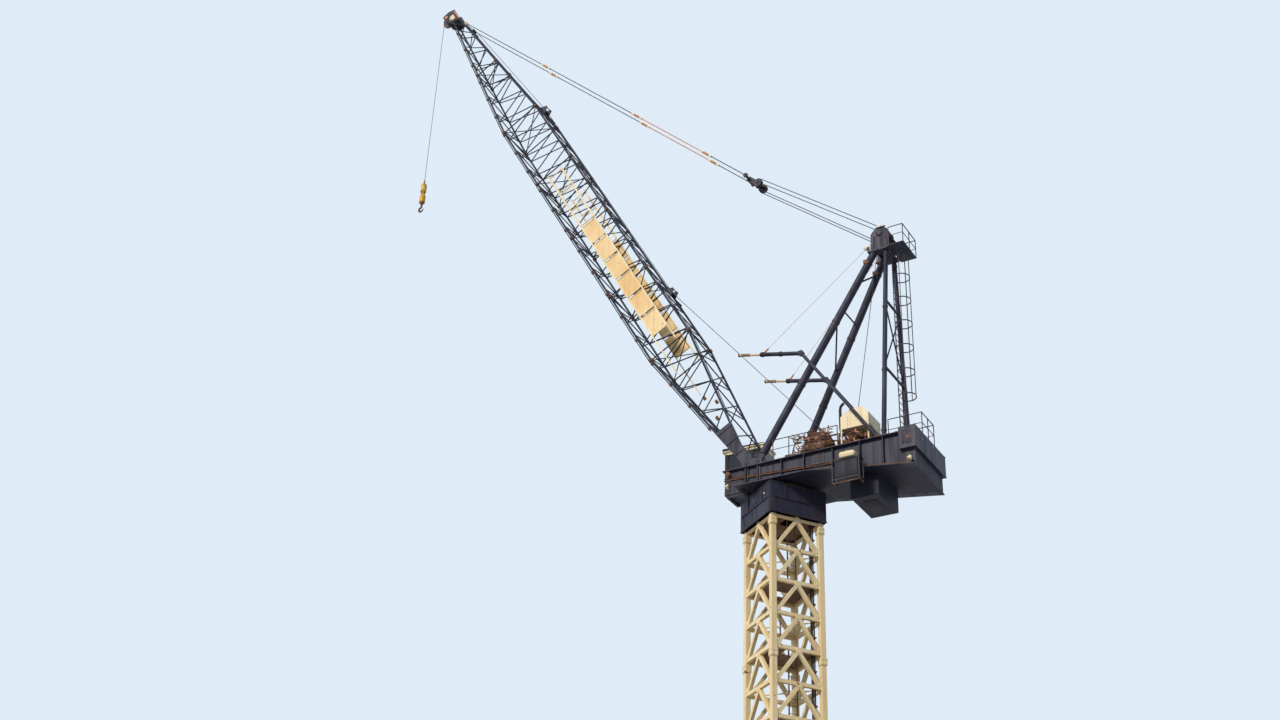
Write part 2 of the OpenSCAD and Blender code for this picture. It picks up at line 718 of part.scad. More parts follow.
module front_leg(s) {
    foot = [front_pin_x, s * girder_y, pin_z];
    top = [front_top[0], s * front_top[1], front_top[2]];
    up = (top - foot) / norm(top - foot);
    boss = strut_inner_y - seat - pass_point[1];
    half = leg_eye_r - 6;
    lean = atan2(up[0], up[2]);
    color("#1f2b45") on_mast() difference() {
        union() {
            rod(foot + up * (foot_plate_l - 50), top + up * 120, front_leg_r, 60);
            y_pin(front_pin_x, s * girder_y, pin_z, leg_eye_r, foot_t);
            translate(foot) rotate([0, lean, 0]) block([-half, -foot_t / 2, 0], [half, foot_t / 2, foot_plate_l]);
            y_pin(pass_point[0], s * (pass_point[1] + boss / 2), pass_point[2], 42, boss);
        }
        y_pin(front_pin_x, s * girder_y, pin_z, pin_r + pin_gap, 200);
        translate([top[0] - 300, top[1] - 300, head_base_z]) cube(600);
    }
}

module left_front_leg() {
    front_leg(1);
}

module right_front_leg() {
    front_leg(-1);
}

// Two tubes on base plates, joined by two cross tubes that end inside them
module rear_legs() {
    base_y = girder_y - 20;
    tube_in = 14;
    color("#1f2b45") on_mast() difference() {
        union() {
            for (s = [-1, 1]) {
                foot = [-rear_leg_back, s * base_y, deck_z + 20];
                top = [rear_top[0], s * rear_top[1], rear_top[2]];
                rod(foot, top + (top - foot) * 0.02, rear_leg_r, 90);
                block([-rear_leg_back - 90, s * base_y - 70, deck_z], [-rear_leg_back + 90, s * base_y + 70, deck_z + 40]);
            }
            for (f = [0.36, 0.72]) {
                p = [-rear_leg_back, base_y - tube_in, deck_z + 20] * (1 - f) + (rear_top - [0, tube_in, 0]) * f;
                rod(p, [p[0], -p[1], p[2]], 28);
            }
        }
        translate([rear_top[0] - 400, -400, head_base_z]) cube(800);
    }
}

// Two side plates on a base plate, with the axle bores and cross plates
module a_frame_head() {
    plate_z = head_base_z + head_base_t;
    color("#1f2b45") on_mast() {
        difference() {
            block([rear_top[0] - 55, -330, head_base_z], [front_top[0] + 110, 330, plate_z]);
            block([-head_back - 60, -150, head_base_z - 1], [front_top[0] + 111, 150, plate_z + 1]);
        }
        for (s = [-1, 1]) difference() {
            side_plate([[front_top[0] + 90, plate_z - 1], [-head_back + 200, head_z + 20],
                [-head_back + 70, head_z + 170], [-head_back - 110, head_z + 170], [-head_back - 230, head_z - 60],
                [rear_top[0] - 40, plate_z - 1]], s * head_side_y, 30);
            y_pin(-head_back, s * head_side_y, head_z, 35, 40);
        }
        for (x = [-head_back - 140, -head_back + 60])
            block([x, -head_side_y + 14, plate_z + 90], [x + 80, head_side_y - 14, plate_z + 120]);
    }
}

head_sheave_w = 34;
// Distance of a rope's middle from the axle, in a groove of the head's sheaves
head_rope_r = groove_r(head_sheave_r, head_sheave_w) + rope_d / 2 + rope_gap;

module a_frame_sheaves() {
    color("#2b3040") on_mast() {
        y_pin(-head_back, 0, head_z, 34.7, head_gap + 30);
        for (y = [-130, -90, 90, 130]) sheave(-head_back, y, head_z, head_sheave_r, head_sheave_w, 34.6);
    }
}

ladder_x = -rear_leg_back - 130;
head_floor_z = head_base_z + 10;

module head_platform() {
    edge = rear_top[0] - 55;
    front = ladder_x - 30;
    z = head_floor_z;
    color("#1f2b45") on_mast() {
        block([-head_back - 620, -380, z], [front, 380, z + 16]);
        for (y = [-1, 1]) {
            translate([(edge + front) / 2 - 1, y * 240, z + 8]) cube([edge - front + 2, 180, 16], center = true);
            handrail([front - 20, y * 370, z + 8], [-head_back - 610, y * 370, z + 8], 460, 2);
        }
        handrail([-head_back - 610, -370, z + 8], [-head_back - 610, 370, z + 8], 460, 3);
    }
}

module caged_ladder() {
    low = beam_z + cw_beam_h + 14;
    high = head_floor_z;
    color("#1f2b45") on_mast() {
        for (y = [-1, 1]) bar([ladder_x, y * 105, low], [ladder_x, y * 105, high], 12, 6);
        for (z = [low + 90 : rung_pitch : high - 30]) bar([ladder_x, -105, z], [ladder_x, 105, z], 7, 6);
        for (z = [low + 1100 : 590 : high - 100]) translate([ladder_x, 0, z]) difference() {
            translate([-150, 0, 0]) cylinder(r = 190, h = 24, $fn = 24);
            translate([-150, 0, -1]) cylinder(r = 182, h = 26, $fn = 24);
            block([2, -200, -1], [200, 200, 26]);
        }
    }
}

module rear_platform() {
    z = beam_z + cw_beam_h;
    color("#1f2b45") on_mast() {
        block([-deck_back - cw_beam_l + 20, -330, z], [-rear_leg_back + 60, 330, z + 14]);
        for (y = [-1, 1])
            handrail([-deck_back - cw_beam_l + 30, y * 320, z + 14], [-rear_leg_back + 50, y * 320, z + 14], 500, 3);
        handrail([-deck_back - cw_beam_l + 30, -320, z + 14], [-deck_back - cw_beam_l + 30, 320, z + 14], 500, 3);
    }
}

// Backstop buffers

module buffer_frame() {
    reach = norm(buffer_tip - elbow);
    along = (buffer_tip - elbow) / reach;
    bore_low = reach - buffer_rod_l - buffer_travel - bore_spare;
    tie = strut_foot + strut_run * 0.78;
    color("#1f2b45") on_mast() {
        for (s = [-1, 1]) {
            foot = [strut_foot[0], s * strut_foot[1], strut_foot[2]];
            e = [elbow[0], s * elbow[1], elbow[2]];
            rod(foot, e, strut_r);
            y_pin(foot[0], foot[1], foot[2], 45, 70);
            block([foot[0] - 50, foot[1] - 25, deck_z], [foot[0] + 50, foot[1] + 25, foot[2]]);
            difference() {
                rod(e - along * 30, e + along * barrel_l, buffer_r);
                rod(e + along * bore_low, e + along * (barrel_l + 1), buffer_rod_r + pin_gap);
            }
            y_pin(e[0], e[1], e[2], 60, 90);
        }
        rod([elbow[0], -buffer_y, elbow[2]], elbow, 24);
        rod([tie[0], -tie[1], tie[2]], tie, 24);
    }
}

module buffer_rod(s) {
    along = (buffer_tip - elbow) / norm(buffer_tip - elbow);
    tip = [buffer_tip[0], s * buffer_tip[1], buffer_tip[2]];
    color("#d8a070") on_mast() {
        rod(tip - along * buffer_rod_l, tip, buffer_rod_r);
        rod(tip - along * 20, tip + along * 40, 38);
    }
}

module left_buffer_rod() {
    buffer_rod(1);
}

module right_buffer_rod() {
    buffer_rod(-1);
}

// Ropes on the deck

module luffing_rope() {
    top = [-head_back + head_rope_r, -130, head_z];
    low = rope_off([luff_drum[0], luff_drum[2]], [top[0], top[2]], luff_drum_r + rope_d / 2 + seat, -1);
    color("#22242a") on_mast() rod([low[0], luff_drum[1] + 90, low[1]], top, rope_d / 2);
}

// Jib, in its own frame

jib_mid_end = jib_len - jib_head_l;
head_cut = jib_len - 420;
foot_half_d = 190;

// Half depth and half width of the lattice at a distance s along the jib
function half_d(s) = s < jib_foot_l ? foot_half_d + (jib_half_d - foot_half_d) * (s - foot_len) / (jib_foot_l - foot_len)
    : s < jib_mid_end ? jib_half_d
    : jib_half_d + (head_half_d - jib_half_d) * (s - jib_mid_end) / (head_cut - jib_mid_end);
function half_w(s) = s < jib_foot_l ? girder_y + (jib_half_w - girder_y) * (s - foot_len) / (jib_foot_l - foot_len)
    : s < jib_mid_end ? jib_half_w
    : jib_half_w + (head_half_w - jib_half_w) * (s - jib_mid_end) / (head_cut - jib_mid_end);
// Centre of a chord; y and z give its side
function chord_at(s, y, z) = [s, y * half_w(s), z * half_d(s)];
// Lacing points, from the foot plates to the head
lace_n = round((head_cut - foot_len) / lace_pitch);
lace_step = (head_cut - foot_len) / lace_n;

module jib_chord(y, z) {
    stops = [foot_len, jib_foot_l, jib_mid_end, head_cut];
    for (k = [0 : 2]) {
        a = chord_at(stops[k] - (k == 0 ? 10 : 0), y, z);
        b = chord_at(stops[k + 1] + (k == 2 ? 10 : 0), y, z);
        bar(a, b, chord_r, 8);
    }
}

// The zigzag between two chords, each given by its y and z side
module zigzag(y0, z0, y1, z1) {
    for (k = [0 : lace_n - 1]) {
        s = foot_len + k * lace_step;
        bar(chord_at(s + (k == 0 ? 60 : 0), y0, z0), chord_at(s + lace_step / 2, y1, z1), lace_r, 6);
        bar(chord_at(s + lace_step / 2, y1, z1), chord_at(s + lace_step - (k == lace_n - 1 ? 60 : 0), y0, z0), lace_r, 6);
    }
}

module jib_side(y) {
    color("#1f2b45") on_jib_pins() intersection() {
        union() {
            for (z = [-1, 1]) jib_chord(y, z);
            zigzag(y, -1, y, 1);
        }
        block([foot_len, -2000, -2000], [head_cut, 2000, 2000]);
    }
}

module jib_left_side() {
    jib_side(1);
}

module jib_right_side() {
    jib_side(-1);
}

// The lacing across the jib's back or belly, cut off at the chords
module jib_cross_lacing(z) {
    color("#1f2b45") on_jib_pins() difference() {
        zigzag(-1, z, 1, z);
        for (y = [-1, 1]) jib_chord(y, z);
        block([0, -2000, -2000], [foot_len, 2000, 2000]);
    }
}

module jib_back_lacing() {
    jib_cross_lacing(1);
}

module jib_belly_lacing() {
    jib_cross_lacing(-1);
}

module jib_foot() {
    color("#1f2b45") on_jib_pins() {
        for (y = [-1, 1]) difference() {
            union() {
                y_pin(0, y * girder_y, 0, jib_eye_r, foot_t);
                side_plate([[0, -jib_eye_r], [foot_len, -foot_half_d - chord_r], [foot_len, foot_half_d + chord_r],
                    [0, jib_eye_r]],
                    y * girder_y, foot_t);
            }
            y_pin(0, y * girder_y, 0, pin_r + pin_gap, 2 * foot_t);
        }
        block([480, -girder_y + foot_t / 2 - 1, -14], [1060, girder_y - foot_t / 2 + 1, 14]);
    }
}

sheave_drop = 200;
jib_sheave_w = 44;
rope_run_r = groove_r(jib_sheave_r, jib_sheave_w) + rope_d / 2 + rope_gap;
// Half the height of the head's cross plates, which stay below the rope
cross_plate_half = 50;

module jib_head() {
    color("#1f2b45") on_jib_pins() {
        for (y = [-1, 1]) difference() {
            side_plate([[head_cut, head_half_d + chord_r], [jib_len + 60, head_half_d + 30], [jib_len + 150, -60],
                [jib_len + 130, -sheave_drop - 90], [jib_len - 140, -sheave_drop - 90],
                [head_cut, -head_half_d - chord_r]], y * head_half_w, 30);
            y_pin(jib_len, y * head_half_w, -sheave_drop, 30, 40);
        }
        for (s = [head_cut + 20, head_cut + 150])
            block([s, -head_half_w + 14, -cross_plate_half], [s + 30, head_half_w - 14, cross_plate_half]);
    }
}

module jib_sheaves() {
    color("#2b3040") on_jib_pins() {
        y_pin(jib_len, 0, -sheave_drop, 29.7, 2 * head_half_w + 60);
        sheave(jib_len, 0, -sheave_drop, jib_sheave_r, jib_sheave_w, 29.6);
    }
}

// Roller brackets that carry the hoist rope along the jib's back
guide_s = [5850, 14000, 18850];
guide_r = 22;
// Height of a roller's centre above the jib's middle
function guide_z(k) = half_d(guide_s[k] - 20) + chord_r + seat + guide_r + 32;

module rope_guides() {
    color("#1f2b45") on_jib_pins() for (k = [0 : len(guide_s) - 1]) {
        s = guide_s[k];
        z = guide_z(k);
        w = half_w(s);
        block([s - 20, -w - 14, z - guide_r - 32], [s + 20, w + 14, z - guide_r - 2]);
        for (y = [-1, 1]) block([s - 20, y * 68 - 8, z - guide_r - 3], [s + 20, y * 68 + 8, z + guide_r + 12]);
        y_pin(s, 0, z, guide_r, 121);
    }
}

// Where the hoist rope rests on each roller
function guide_top(k) = [guide_s[k], 0, guide_z(k) + guide_r + rope_d / 2 + rope_gap];

// How far short of a bend each stretch of rope ends
bend_gap = 3;

// One stretch of the hoist rope, which ends just short of a and b
module rope_stretch(a, b) {
    along = (b - a) / norm(b - a) * bend_gap;
    rod(a + along, b - along, rope_d / 2);
}

module jib_hoist_rope() {
    last = guide_top(len(guide_s) - 1);
    off = rope_off([jib_len, -sheave_drop], [last[0], last[2]], rope_run_r, -1);
    color("#22242a") on_jib_pins() {
        for (k = [1 : len(guide_s) - 1]) rope_stretch(guide_top(k - 1), guide_top(k));
        rope_stretch(last, [off[0], 0, off[1]]);
    }
}

module deck_hoist_rope() {
    start = at_rest(guide_top(0));
    low = rope_off([drum_x, drum_z], [start[0], start[2]], drum_r + rope_d / 2 + seat, 1);
    color("#22242a") on_mast() rope_stretch([low[0], 120, low[1]], start);
}

// Plain panels on both sides of the jib
panel_s = [4630, 11200];
panel_t = 8;
panel_h_jib = 320;

module jib_panels() {
    color("#e9dcae") on_jib_pins() for (y = [-1, 1])
        translate([(panel_s[0] + panel_s[1]) / 2, y * (jib_half_w + lace_r * cos(30) + seat + panel_t / 2), 0])
            cube([panel_s[1] - panel_s[0], panel_t, panel_h_jib], center = true);
}

// Pendants and falls

anchor_s = 19130;
anchor_z = 200;
// Slope of the pendants seen in the jib's own frame
pendant_a = 180 - 16.3;
block_at = [anchor_s + pendant_l * cos(pendant_a), 0, anchor_z + pendant_l * sin(pendant_a)];

block_pin_r = 30;

module pendants() {
    eye = [cos(pendant_a), 0, sin(pendant_a)] * 50;
    color("#22242a") on_jib_pins() for (y = [-1, 1]) {
        side = [0, y * pendant_y, 0];
        difference() {
            union() {
                rod([anchor_s, 0, anchor_z] + side, block_at - eye + side, pendant_d / 2);
                y_pin(block_at[0], y * pendant_y, block_at[2], 60, 36);
            }
            y_pin(block_at[0], y * pendant_y, block_at[2], block_pin_r + seat, 60);
        }
        low = [for (s = [anchor_s - 60, anchor_s + 60]) [s, half_d(s) + chord_r + seat]];
        side_plate([low[0], low[1], [anchor_s + 30, anchor_z + 30], [anchor_s - 50, anchor_z + 35]],
            y * pendant_y, 26);
    }
}

falls_sheave_r = 105;
falls_sheave_at = block_at + [cos(pendant_a), 0, sin(pendant_a)] * (bridle_l - 140);

module falls_block() {
    color("#1f2b45") on_jib_pins() {
        y_pin(block_at[0], 0, block_at[2], block_pin_r, 2 * pendant_y + 60);
        translate(block_at) rotate([0, -pendant_a, 0])
            for (y = [-1, 1]) block([0, y * 62 - 10, -60], [bridle_l - 80, y * 62 + 10, 60]);
        y_pin(falls_sheave_at[0], 0, falls_sheave_at[2], 20, 370);
        for (y = [-130, 130]) y_pin(falls_sheave_at[0], y, falls_sheave_at[2], falls_sheave_r, 90);
    }
}

// A point of the jib's frame, at rest, in the deck's frame
function at_rest(p) = [jib_pin_x + p[0] * cos(luff_rest) - p[2] * sin(luff_rest), p[1],
    pin_z + p[0] * sin(luff_rest) + p[2] * cos(luff_rest)];

module luffing_falls() {
    h = [-head_back, 0, head_z];
    e = at_rest(falls_sheave_at);
    run = (e - h) / norm(e - h);
    across = [-run[2], 0, run[0]];
    block_r = falls_sheave_r + rope_d / 2 + rope_gap;
    color("#22242a") on_mast() for (y = [-130, -90, 90, 130]) {
        side = abs(y) > 100 ? 1 : -1;
        rod(h + across * side * head_rope_r + [0, y, 0], e + across * side * block_r + [0, y, 0], rope_d / 2);
    }
}

// Hanging rope and hook, straight down from the head sheave

hang_top = at_rest([jib_len, 0, -sheave_drop]) + [rope_run_r, 0, 0];
// Radius and height of the socket on top of the hook's weight
socket_r = 20;
socket_h = 160;
// Height of the weight's underside, and the running gap of the swivel below it
weight_low = hang_top - [0, 0, hang_l + weight_h + socket_h];
swivel_gap = 0.5;
// The hook's shank, its bend's radius and drop, and the radius of its bar
shank_r = 28;
shank_h = 110;
bend_r = 70;
bend_drop = 200;
hook_bar_r = 24;

module hanging_rope() {
    color("#22242a") on_mast() rod(hang_top, hang_top - [0, 0, hang_l - seat], rope_d / 2);
}

module hook_weight() {
    r = weight_d / 2;
    color("#d9a520") on_mast() translate(weight_low) rotate_extrude($fn = 48)
        polygon([[0, 0], [r * 0.5, 0], [r, r * 0.6], [r, weight_h * 0.38], [r * 0.62, weight_h * 0.47],
            [r * 0.62, weight_h * 0.53], [r, weight_h * 0.62], [r, weight_h - r * 0.6], [r * 0.5, weight_h],
            [socket_r, weight_h + socket_r], [socket_r, weight_h + socket_h], [0, weight_h + socket_h]]);
}

module hook() {
    color("#7a4a2a") on_mast() translate(weight_low - [0, 0, swivel_gap]) {
        translate([0, 0, -shank_h]) cylinder(r = shank_r, h = shank_h, $fn = 32);
        translate([0, 0, -bend_drop]) rotate([90, 0, 0]) difference() {
            rotate_extrude($fn = 48) translate([bend_r, 0]) circle(r = hook_bar_r, $fn = 24);
            block([-bend_r - 50, 0, -60], [-10, bend_r + 50, 60]);
        }
    }
}

base_frame();
mast_legs();
mast_front_bracing();
mast_back_bracing();
mast_left_bracing();
mast_right_bracing();
mast_platforms();
mast_ladders();
tower_top();
slew_ring();
left_girder();
right_girder();
deck_underside();
deck_floor();
deck_handrails();
counterweight_beam();
counterweight_slabs();
machinery_pit();
winch_frame();
hoist_drum();
luffing_winch();
engine();
engine_canopy();
electrical_cabinet();
cab_body();
cab_glass();
cab_bracket();
left_front_leg();
right_front_leg();
rear_legs();
a_frame_head();
a_frame_sheaves();
head_platform();
caged_ladder();
rear_platform();
buffer_frame();
left_buffer_rod();
right_buffer_rod();
luffing_rope();
luffing_falls();
deck_hoist_rope();
jib_foot();
jib_left_side();
jib_right_side();
jib_back_lacing();
jib_belly_lacing();
jib_head();
jib_sheaves();
rope_guides();
jib_hoist_rope();
jib_panels();
pendants();
falls_block();
hanging_rope();
hook_weight();
hook();
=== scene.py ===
"""Dresses a half-size luffing-jib tower crane over its CAD frame, for the library's pictures."""

import json
import logging
import math
import random
from dataclasses import dataclass
from enum import Enum
from typing import Any, Sequence, Union

import bmesh
import bpy
from mathutils import Matrix, Vector


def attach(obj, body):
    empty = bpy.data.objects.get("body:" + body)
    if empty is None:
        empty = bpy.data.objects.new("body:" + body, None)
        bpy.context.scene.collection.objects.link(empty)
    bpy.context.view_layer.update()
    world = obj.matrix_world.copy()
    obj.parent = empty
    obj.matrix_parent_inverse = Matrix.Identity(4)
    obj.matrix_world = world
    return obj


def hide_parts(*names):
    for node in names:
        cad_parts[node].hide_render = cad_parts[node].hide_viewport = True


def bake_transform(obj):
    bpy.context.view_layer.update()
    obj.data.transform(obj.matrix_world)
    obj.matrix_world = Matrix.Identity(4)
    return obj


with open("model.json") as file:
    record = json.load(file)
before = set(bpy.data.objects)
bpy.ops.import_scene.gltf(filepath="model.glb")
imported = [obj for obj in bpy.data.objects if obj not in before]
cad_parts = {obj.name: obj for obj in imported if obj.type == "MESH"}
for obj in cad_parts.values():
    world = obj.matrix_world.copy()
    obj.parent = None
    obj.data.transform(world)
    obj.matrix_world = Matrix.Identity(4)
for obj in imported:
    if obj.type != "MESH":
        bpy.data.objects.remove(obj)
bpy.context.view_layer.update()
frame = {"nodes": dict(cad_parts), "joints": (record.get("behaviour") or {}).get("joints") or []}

log = logging.getLogger("crane")
Point = tuple[float, float, float]
Colour = tuple[float, float, float]
Source = Union[bpy.types.NodeSocket, float]
TURN = 2 * math.pi

# Sizes that more than one sub-assembly uses, in metres, and the jib's angle at rest, in degrees
GIRDER_Y = 0.7175
ROPE_R = 0.007
LUFF_REST = 60.0


# Spaces and shapes


@dataclass(frozen=True)
class Space:
    """A sub-assembly's own axes, in metres: along it, to its left, and up out of it."""

    matrix: Matrix

    def point(self, x: float, y: float, z: float) -> Vector:
        """Return a point of this space in the row frame."""
        return self.matrix @ Vector((x, y, z))

    def turned(self, angle: float) -> "Space":
        """Return this space turned about its own Z by an angle in radians."""
        return Space(self.matrix @ Matrix.Rotation(angle, 4, "Z"))

    def box(self, node: str) -> tuple[Vector, Vector]:
        """Return a CAD node's lowest and highest corner along this space's axes.

        Args:
            node: Name of the CAD node.

        Returns:
            The two corners.
        """
        back = self.matrix.inverted()
        points = [back @ v.co for v in frame["nodes"][node].data.vertices]
        low = Vector([min(p[i] for p in points) for i in range(3)])
        high = Vector([max(p[i] for p in points) for i in range(3)])
        return low, high


def joint(name: str) -> dict[str, Any]:
    """Return the record's joint of that name."""
    return next(j for j in frame["joints"] if j["name"] == name)


def deck_space() -> Space:
    """Work out the deck's axes.

    Returns:
        Axes from the middle of the mast top, with X towards the jib and Z up.
    """
    axis = joint("luff")["axis"]
    turn = math.atan2(axis[0], -axis[1])
    return Space(Matrix.Translation(joint("slew")["pos_m"]) @ Matrix.Rotation(turn, 4, "Z"))


def jib_space(deck: Space, rest: float) -> Space:
    """Return the jib's axes: X along the jib, Z out of its back.

    Args:
        deck: The deck's axes.
        rest: The jib's angle above the horizontal at rest, in radians.

    Returns:
        The jib's axes, with their origin on the jib pins.
    """
    turn = deck.matrix.to_3x3().to_4x4() @ Matrix.Rotation(-rest, 4, "Y")
    return Space(Matrix.Translation(joint("luff")["pos_m"]) @ turn)


def aimed(start: Vector, way: Vector) -> Matrix:
    """Return a placement at start whose Z runs along way."""
    return Matrix.Translation(start) @ way.to_track_quat("Z", "Y").to_matrix().to_4x4()


class Shaper:
    """Builds one piece's mesh out of forged, rolled and bent shapes, in one space."""

    def __init__(self, space: Space) -> None:
        """Start an empty mesh in a space."""
        self.space = space
        self.mesh = bmesh.new()

    def _way(self, way: Sequence[float]) -> Vector:
        """Return a direction of this space in the row frame."""
        return self.space.matrix.to_3x3() @ Vector(way)

    def box(self, low: Point, high: Point, bevel: float = 0.0) -> None:
        """Add a box along the space's axes.

        Args:
            low: One of its corners.
            high: The corner across from it.
            bevel: Width of the rounding of its edges, or 0 for none.
        """
        first, last = (Vector(corner) for corner in zip(*(sorted(pair) for pair in zip(low, high))))
        place = (self.space.matrix @ Matrix.Translation(first.lerp(last, 0.5))
                 @ Matrix.Diagonal((*(last - first), 1.0)))
        made = bmesh.ops.create_cube(self.mesh, size=1.0, matrix=place)
        if bevel:
            edges = list({e for v in made["verts"] for e in v.link_edges})
            bmesh.ops.bevel(self.mesh, geom=edges, offset=bevel, offset_type="OFFSET", segments=2,
                            profile=0.5, affect="EDGES", material=-1)

    def tube(self, a: Sequence[float], b: Sequence[float], radius: float, sides: int = 12,
             end: float | None = None) -> None:
        """Add a round bar, pipe or cone between two points.

        Args:
            a: Where it starts.
            b: Where it ends.
            radius: Its radius at the start.
            sides: How many flat sides stand for the round.
            end: Its radius at the end, where that differs.
        """
        start, stop = self.space.point(*a), self.space.point(*b)
        place = aimed((start + stop) / 2, stop - start)
        bmesh.ops.create_cone(self.mesh, cap_ends=True, cap_tris=False, segments=sides,
                              radius1=radius, radius2=radius if end is None else end,
                              depth=(stop - start).length, matrix=place)

    def slab(self, outline: Sequence[Sequence[float]], thick: Sequence[float]) -> None:
        """Add a flat plate.

        Args:
            outline: The points of its outline.
            thick: How far, and which way, its other side lies.
        """
        face = self.mesh.faces.new([self.mesh.verts.new(self.space.point(*p)) for p in outline])
        grown = bmesh.ops.extrude_face_region(self.mesh, geom=[face])
        fresh = [g for g in grown["geom"] if isinstance(g, bmesh.types.BMVert)]
        bmesh.ops.translate(self.mesh, verts=fresh, vec=self._way(thick))

    def plate(self, outline: Sequence[tuple[float, float]], y: float, thick: float) -> None:
        """Add an upright plate from its outline in X and Z, its middle y and its thickness."""
        self.slab([(x, y - thick / 2, z) for x, z in outline], (0.0, thick, 0.0))

    def lathe(self, at: Sequence[float], way: Sequence[float],
              profile: Sequence[tuple[float, float]], steps: int = 32, closed: bool = False) -> None:
        """Add a turned shape.

        Args:
            at: A point on its axis.
            way: The direction of its axis.
            profile: Radius and place along the axis of each point of its outline.
            steps: How many flats go round it.
            closed: Whether the outline closes on itself, as a ring's does.
        """
        place = aimed(self.space.point(*at), self._way(way))
        verts = [self.mesh.verts.new(place @ Vector((r, 0.0, h))) for r, h in profile]
        pairs = list(zip(verts, verts[1:])) + ([(verts[-1], verts[0])] if closed else [])
        edges = [self.mesh.edges.new(pair) for pair in pairs]
        before = set(self.mesh.verts) - set(verts)
        bmesh.ops.spin(self.mesh, geom=verts + edges, cent=place.translation,
                       axis=place.col[2].to_3d(), dvec=(0.0, 0.0, 0.0), angle=TURN, steps=steps,
                       use_merge=True, use_duplicate=False)
        fresh = [v for v in self.mesh.verts if v not in before]
        bmesh.ops.remove_doubles(self.mesh, verts=fresh, dist=1e-5)

    def ring(self, at: Sequence[float], way: Sequence[float], inner: float, outer: float, half: float,
             steps: int = 20) -> None:
        """Add a flat ring.

        Args:
            at: The middle of its hole.
            way: The direction of its axis.
            inner: Radius of its hole.
            outer: Its outer radius.
            half: Half its thickness.
            steps: How many flats go round it.
        """
        self.lathe(at, way, [(inner, -half), (outer, -half), (outer, half), (inner, half)], steps, True)

    def sweep(self, path: Sequence[Sequence[float]], radius: float | Sequence[float],
              sides: int = 8) -> None:
        """Add a bent pipe or bar along a path.

        Args:
            path: The points of its middle line.
            radius: Its radius, or one radius for each point.
            sides: How many flat sides stand for the round.
        """
        spots = [self.space.point(*p) for p in path]
        widths = [radius] * len(spots) if isinstance(radius, float) else list(radius)
        last = len(spots) - 1
        ways = [(spots[min(i + 1, last)] - spots[max(i - 1, 0)]).normalized() for i in range(last + 1)]
        turn = ways[0].to_track_quat("Z", "Y")
        places = []
        for i, spot in enumerate(spots):
            if i:
                turn = ways[i - 1].rotation_difference(ways[i]) @ turn
            scale = Matrix.Diagonal((widths[i], widths[i], widths[i], 1.0))
            places.append(Matrix.Translation(spot) @ turn.to_matrix().to_4x4() @ scale)
        made = bmesh.ops.create_circle(self.mesh, cap_ends=True, segments=sides, radius=1.0,
                                       matrix=places[0])
        edges = list({e for v in made["verts"] for e in v.link_edges})
        for here, after in zip(places, places[1:]):
            grown = bmesh.ops.extrude_edge_only(self.mesh, edges=edges)["geom"]
            fresh = {g for g in grown if isinstance(g, bmesh.types.BMVert)}
            edges = [g for g in grown if isinstance(g, bmesh.types.BMEdge) and set(g.verts) <= fresh]
            bmesh.ops.transform(self.mesh, matrix=after @ here.inverted(), verts=list(fresh))
        bmesh.ops.contextual_create(self.mesh, geom=edges)

    def arc(self, at: Sequence[float], radius: float, first: float, last: float, thick: float,
            steps: int = 14, sides: int = 8) -> None:
        """Add a bar bent round an axle along Y.

        Args:
            at: A point on the axle.
            radius: Distance of the bar's middle from the axle.
            first: Angle at which it starts, in degrees from X towards Z.
            last: Angle at which it ends.
            thick: The bar's radius.
            steps: How many straight pieces stand for the bend.
            sides: How many flat sides stand for the bar's round.
        """
        turns = [math.radians(first + (last - first) * k / steps) for k in range(steps + 1)]
        self.sweep([(at[0] + radius * math.cos(t), at[1], at[2] + radius * math.sin(t))
                    for t in turns], thick, sides)

    def bolts(self, a: Sequence[float], b: Sequence[float], count: int, way: Sequence[float],
              radius: float = 0.012, proud: float = 0.01) -> None:
        """Add a row of hexagon bolt heads.

        Args:
            a: Where the first one stands.
            b: Where the last one stands.
            count: How many there are.
            way: The direction in which they stand proud.
            radius: Radius of a head.
            proud: Height of a head.
        """
        lift = Vector(way).normalized() * proud
        for k in range(count):
            foot = Vector(a).lerp(Vector(b), k / max(count - 1, 1))
            self.tube(foot - lift * 0.2, foot + lift, radius, 6)

    def _object(self, name: str, finish: "Finish") -> bpy.types.Object:
        """Turn the mesh into a linked object.

        Args:
            name: The object's name.
            finish: What it is made and painted with.

        Returns:
            The object, with its finish on it.
        """
        bmesh.ops.recalc_face_normals(self.mesh, faces=self.mesh.faces[:])
        mesh = bpy.data.meshes.new(name)
        self.mesh.to_mesh(mesh)
        self.mesh.free()
        mesh.polygons.foreach_set("use_smooth", [True] * len(mesh.polygons))
        mesh.set_sharp_from_angle(angle=math.radians(35))
        mesh.materials.append(finish.material)
        made = bpy.data.objects.new(name, mesh)
        bpy.context.scene.collection.objects.link(made)
        log.info("%s: %d faces", name, len(mesh.polygons))
        return made

    def piece(self, name: str, body: str, finish: "Finish",
              replaces: Sequence[str] = ()) -> bpy.types.Object:
        """Finish the piece and set it on a body.

        Args:
            name: The piece's name.
            body: The body that it rides on.
            finish: What it is made and painted with.
            replaces: CAD nodes that it stands for.

        Returns:
            The piece's object.
        """
        made = self._object(name, finish)
        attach(made, body)
        if replaces:
            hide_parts(*replaces)
        return made

    def stretched(self, name: str,
                  finish: "Finish", replaces: Sequence[str]) -> bpy.types.Object:
        """Finish a rope piece that runs from one body to another.

        Args:
            name: The piece's name.
            finish: What it is made of.
            replaces: CAD nodes that it stands for.

        Returns:
            The piece's object.
        """
        made = self._object(name, finish)
        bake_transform(made)
        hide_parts(*replaces)
        return made


# Finishes


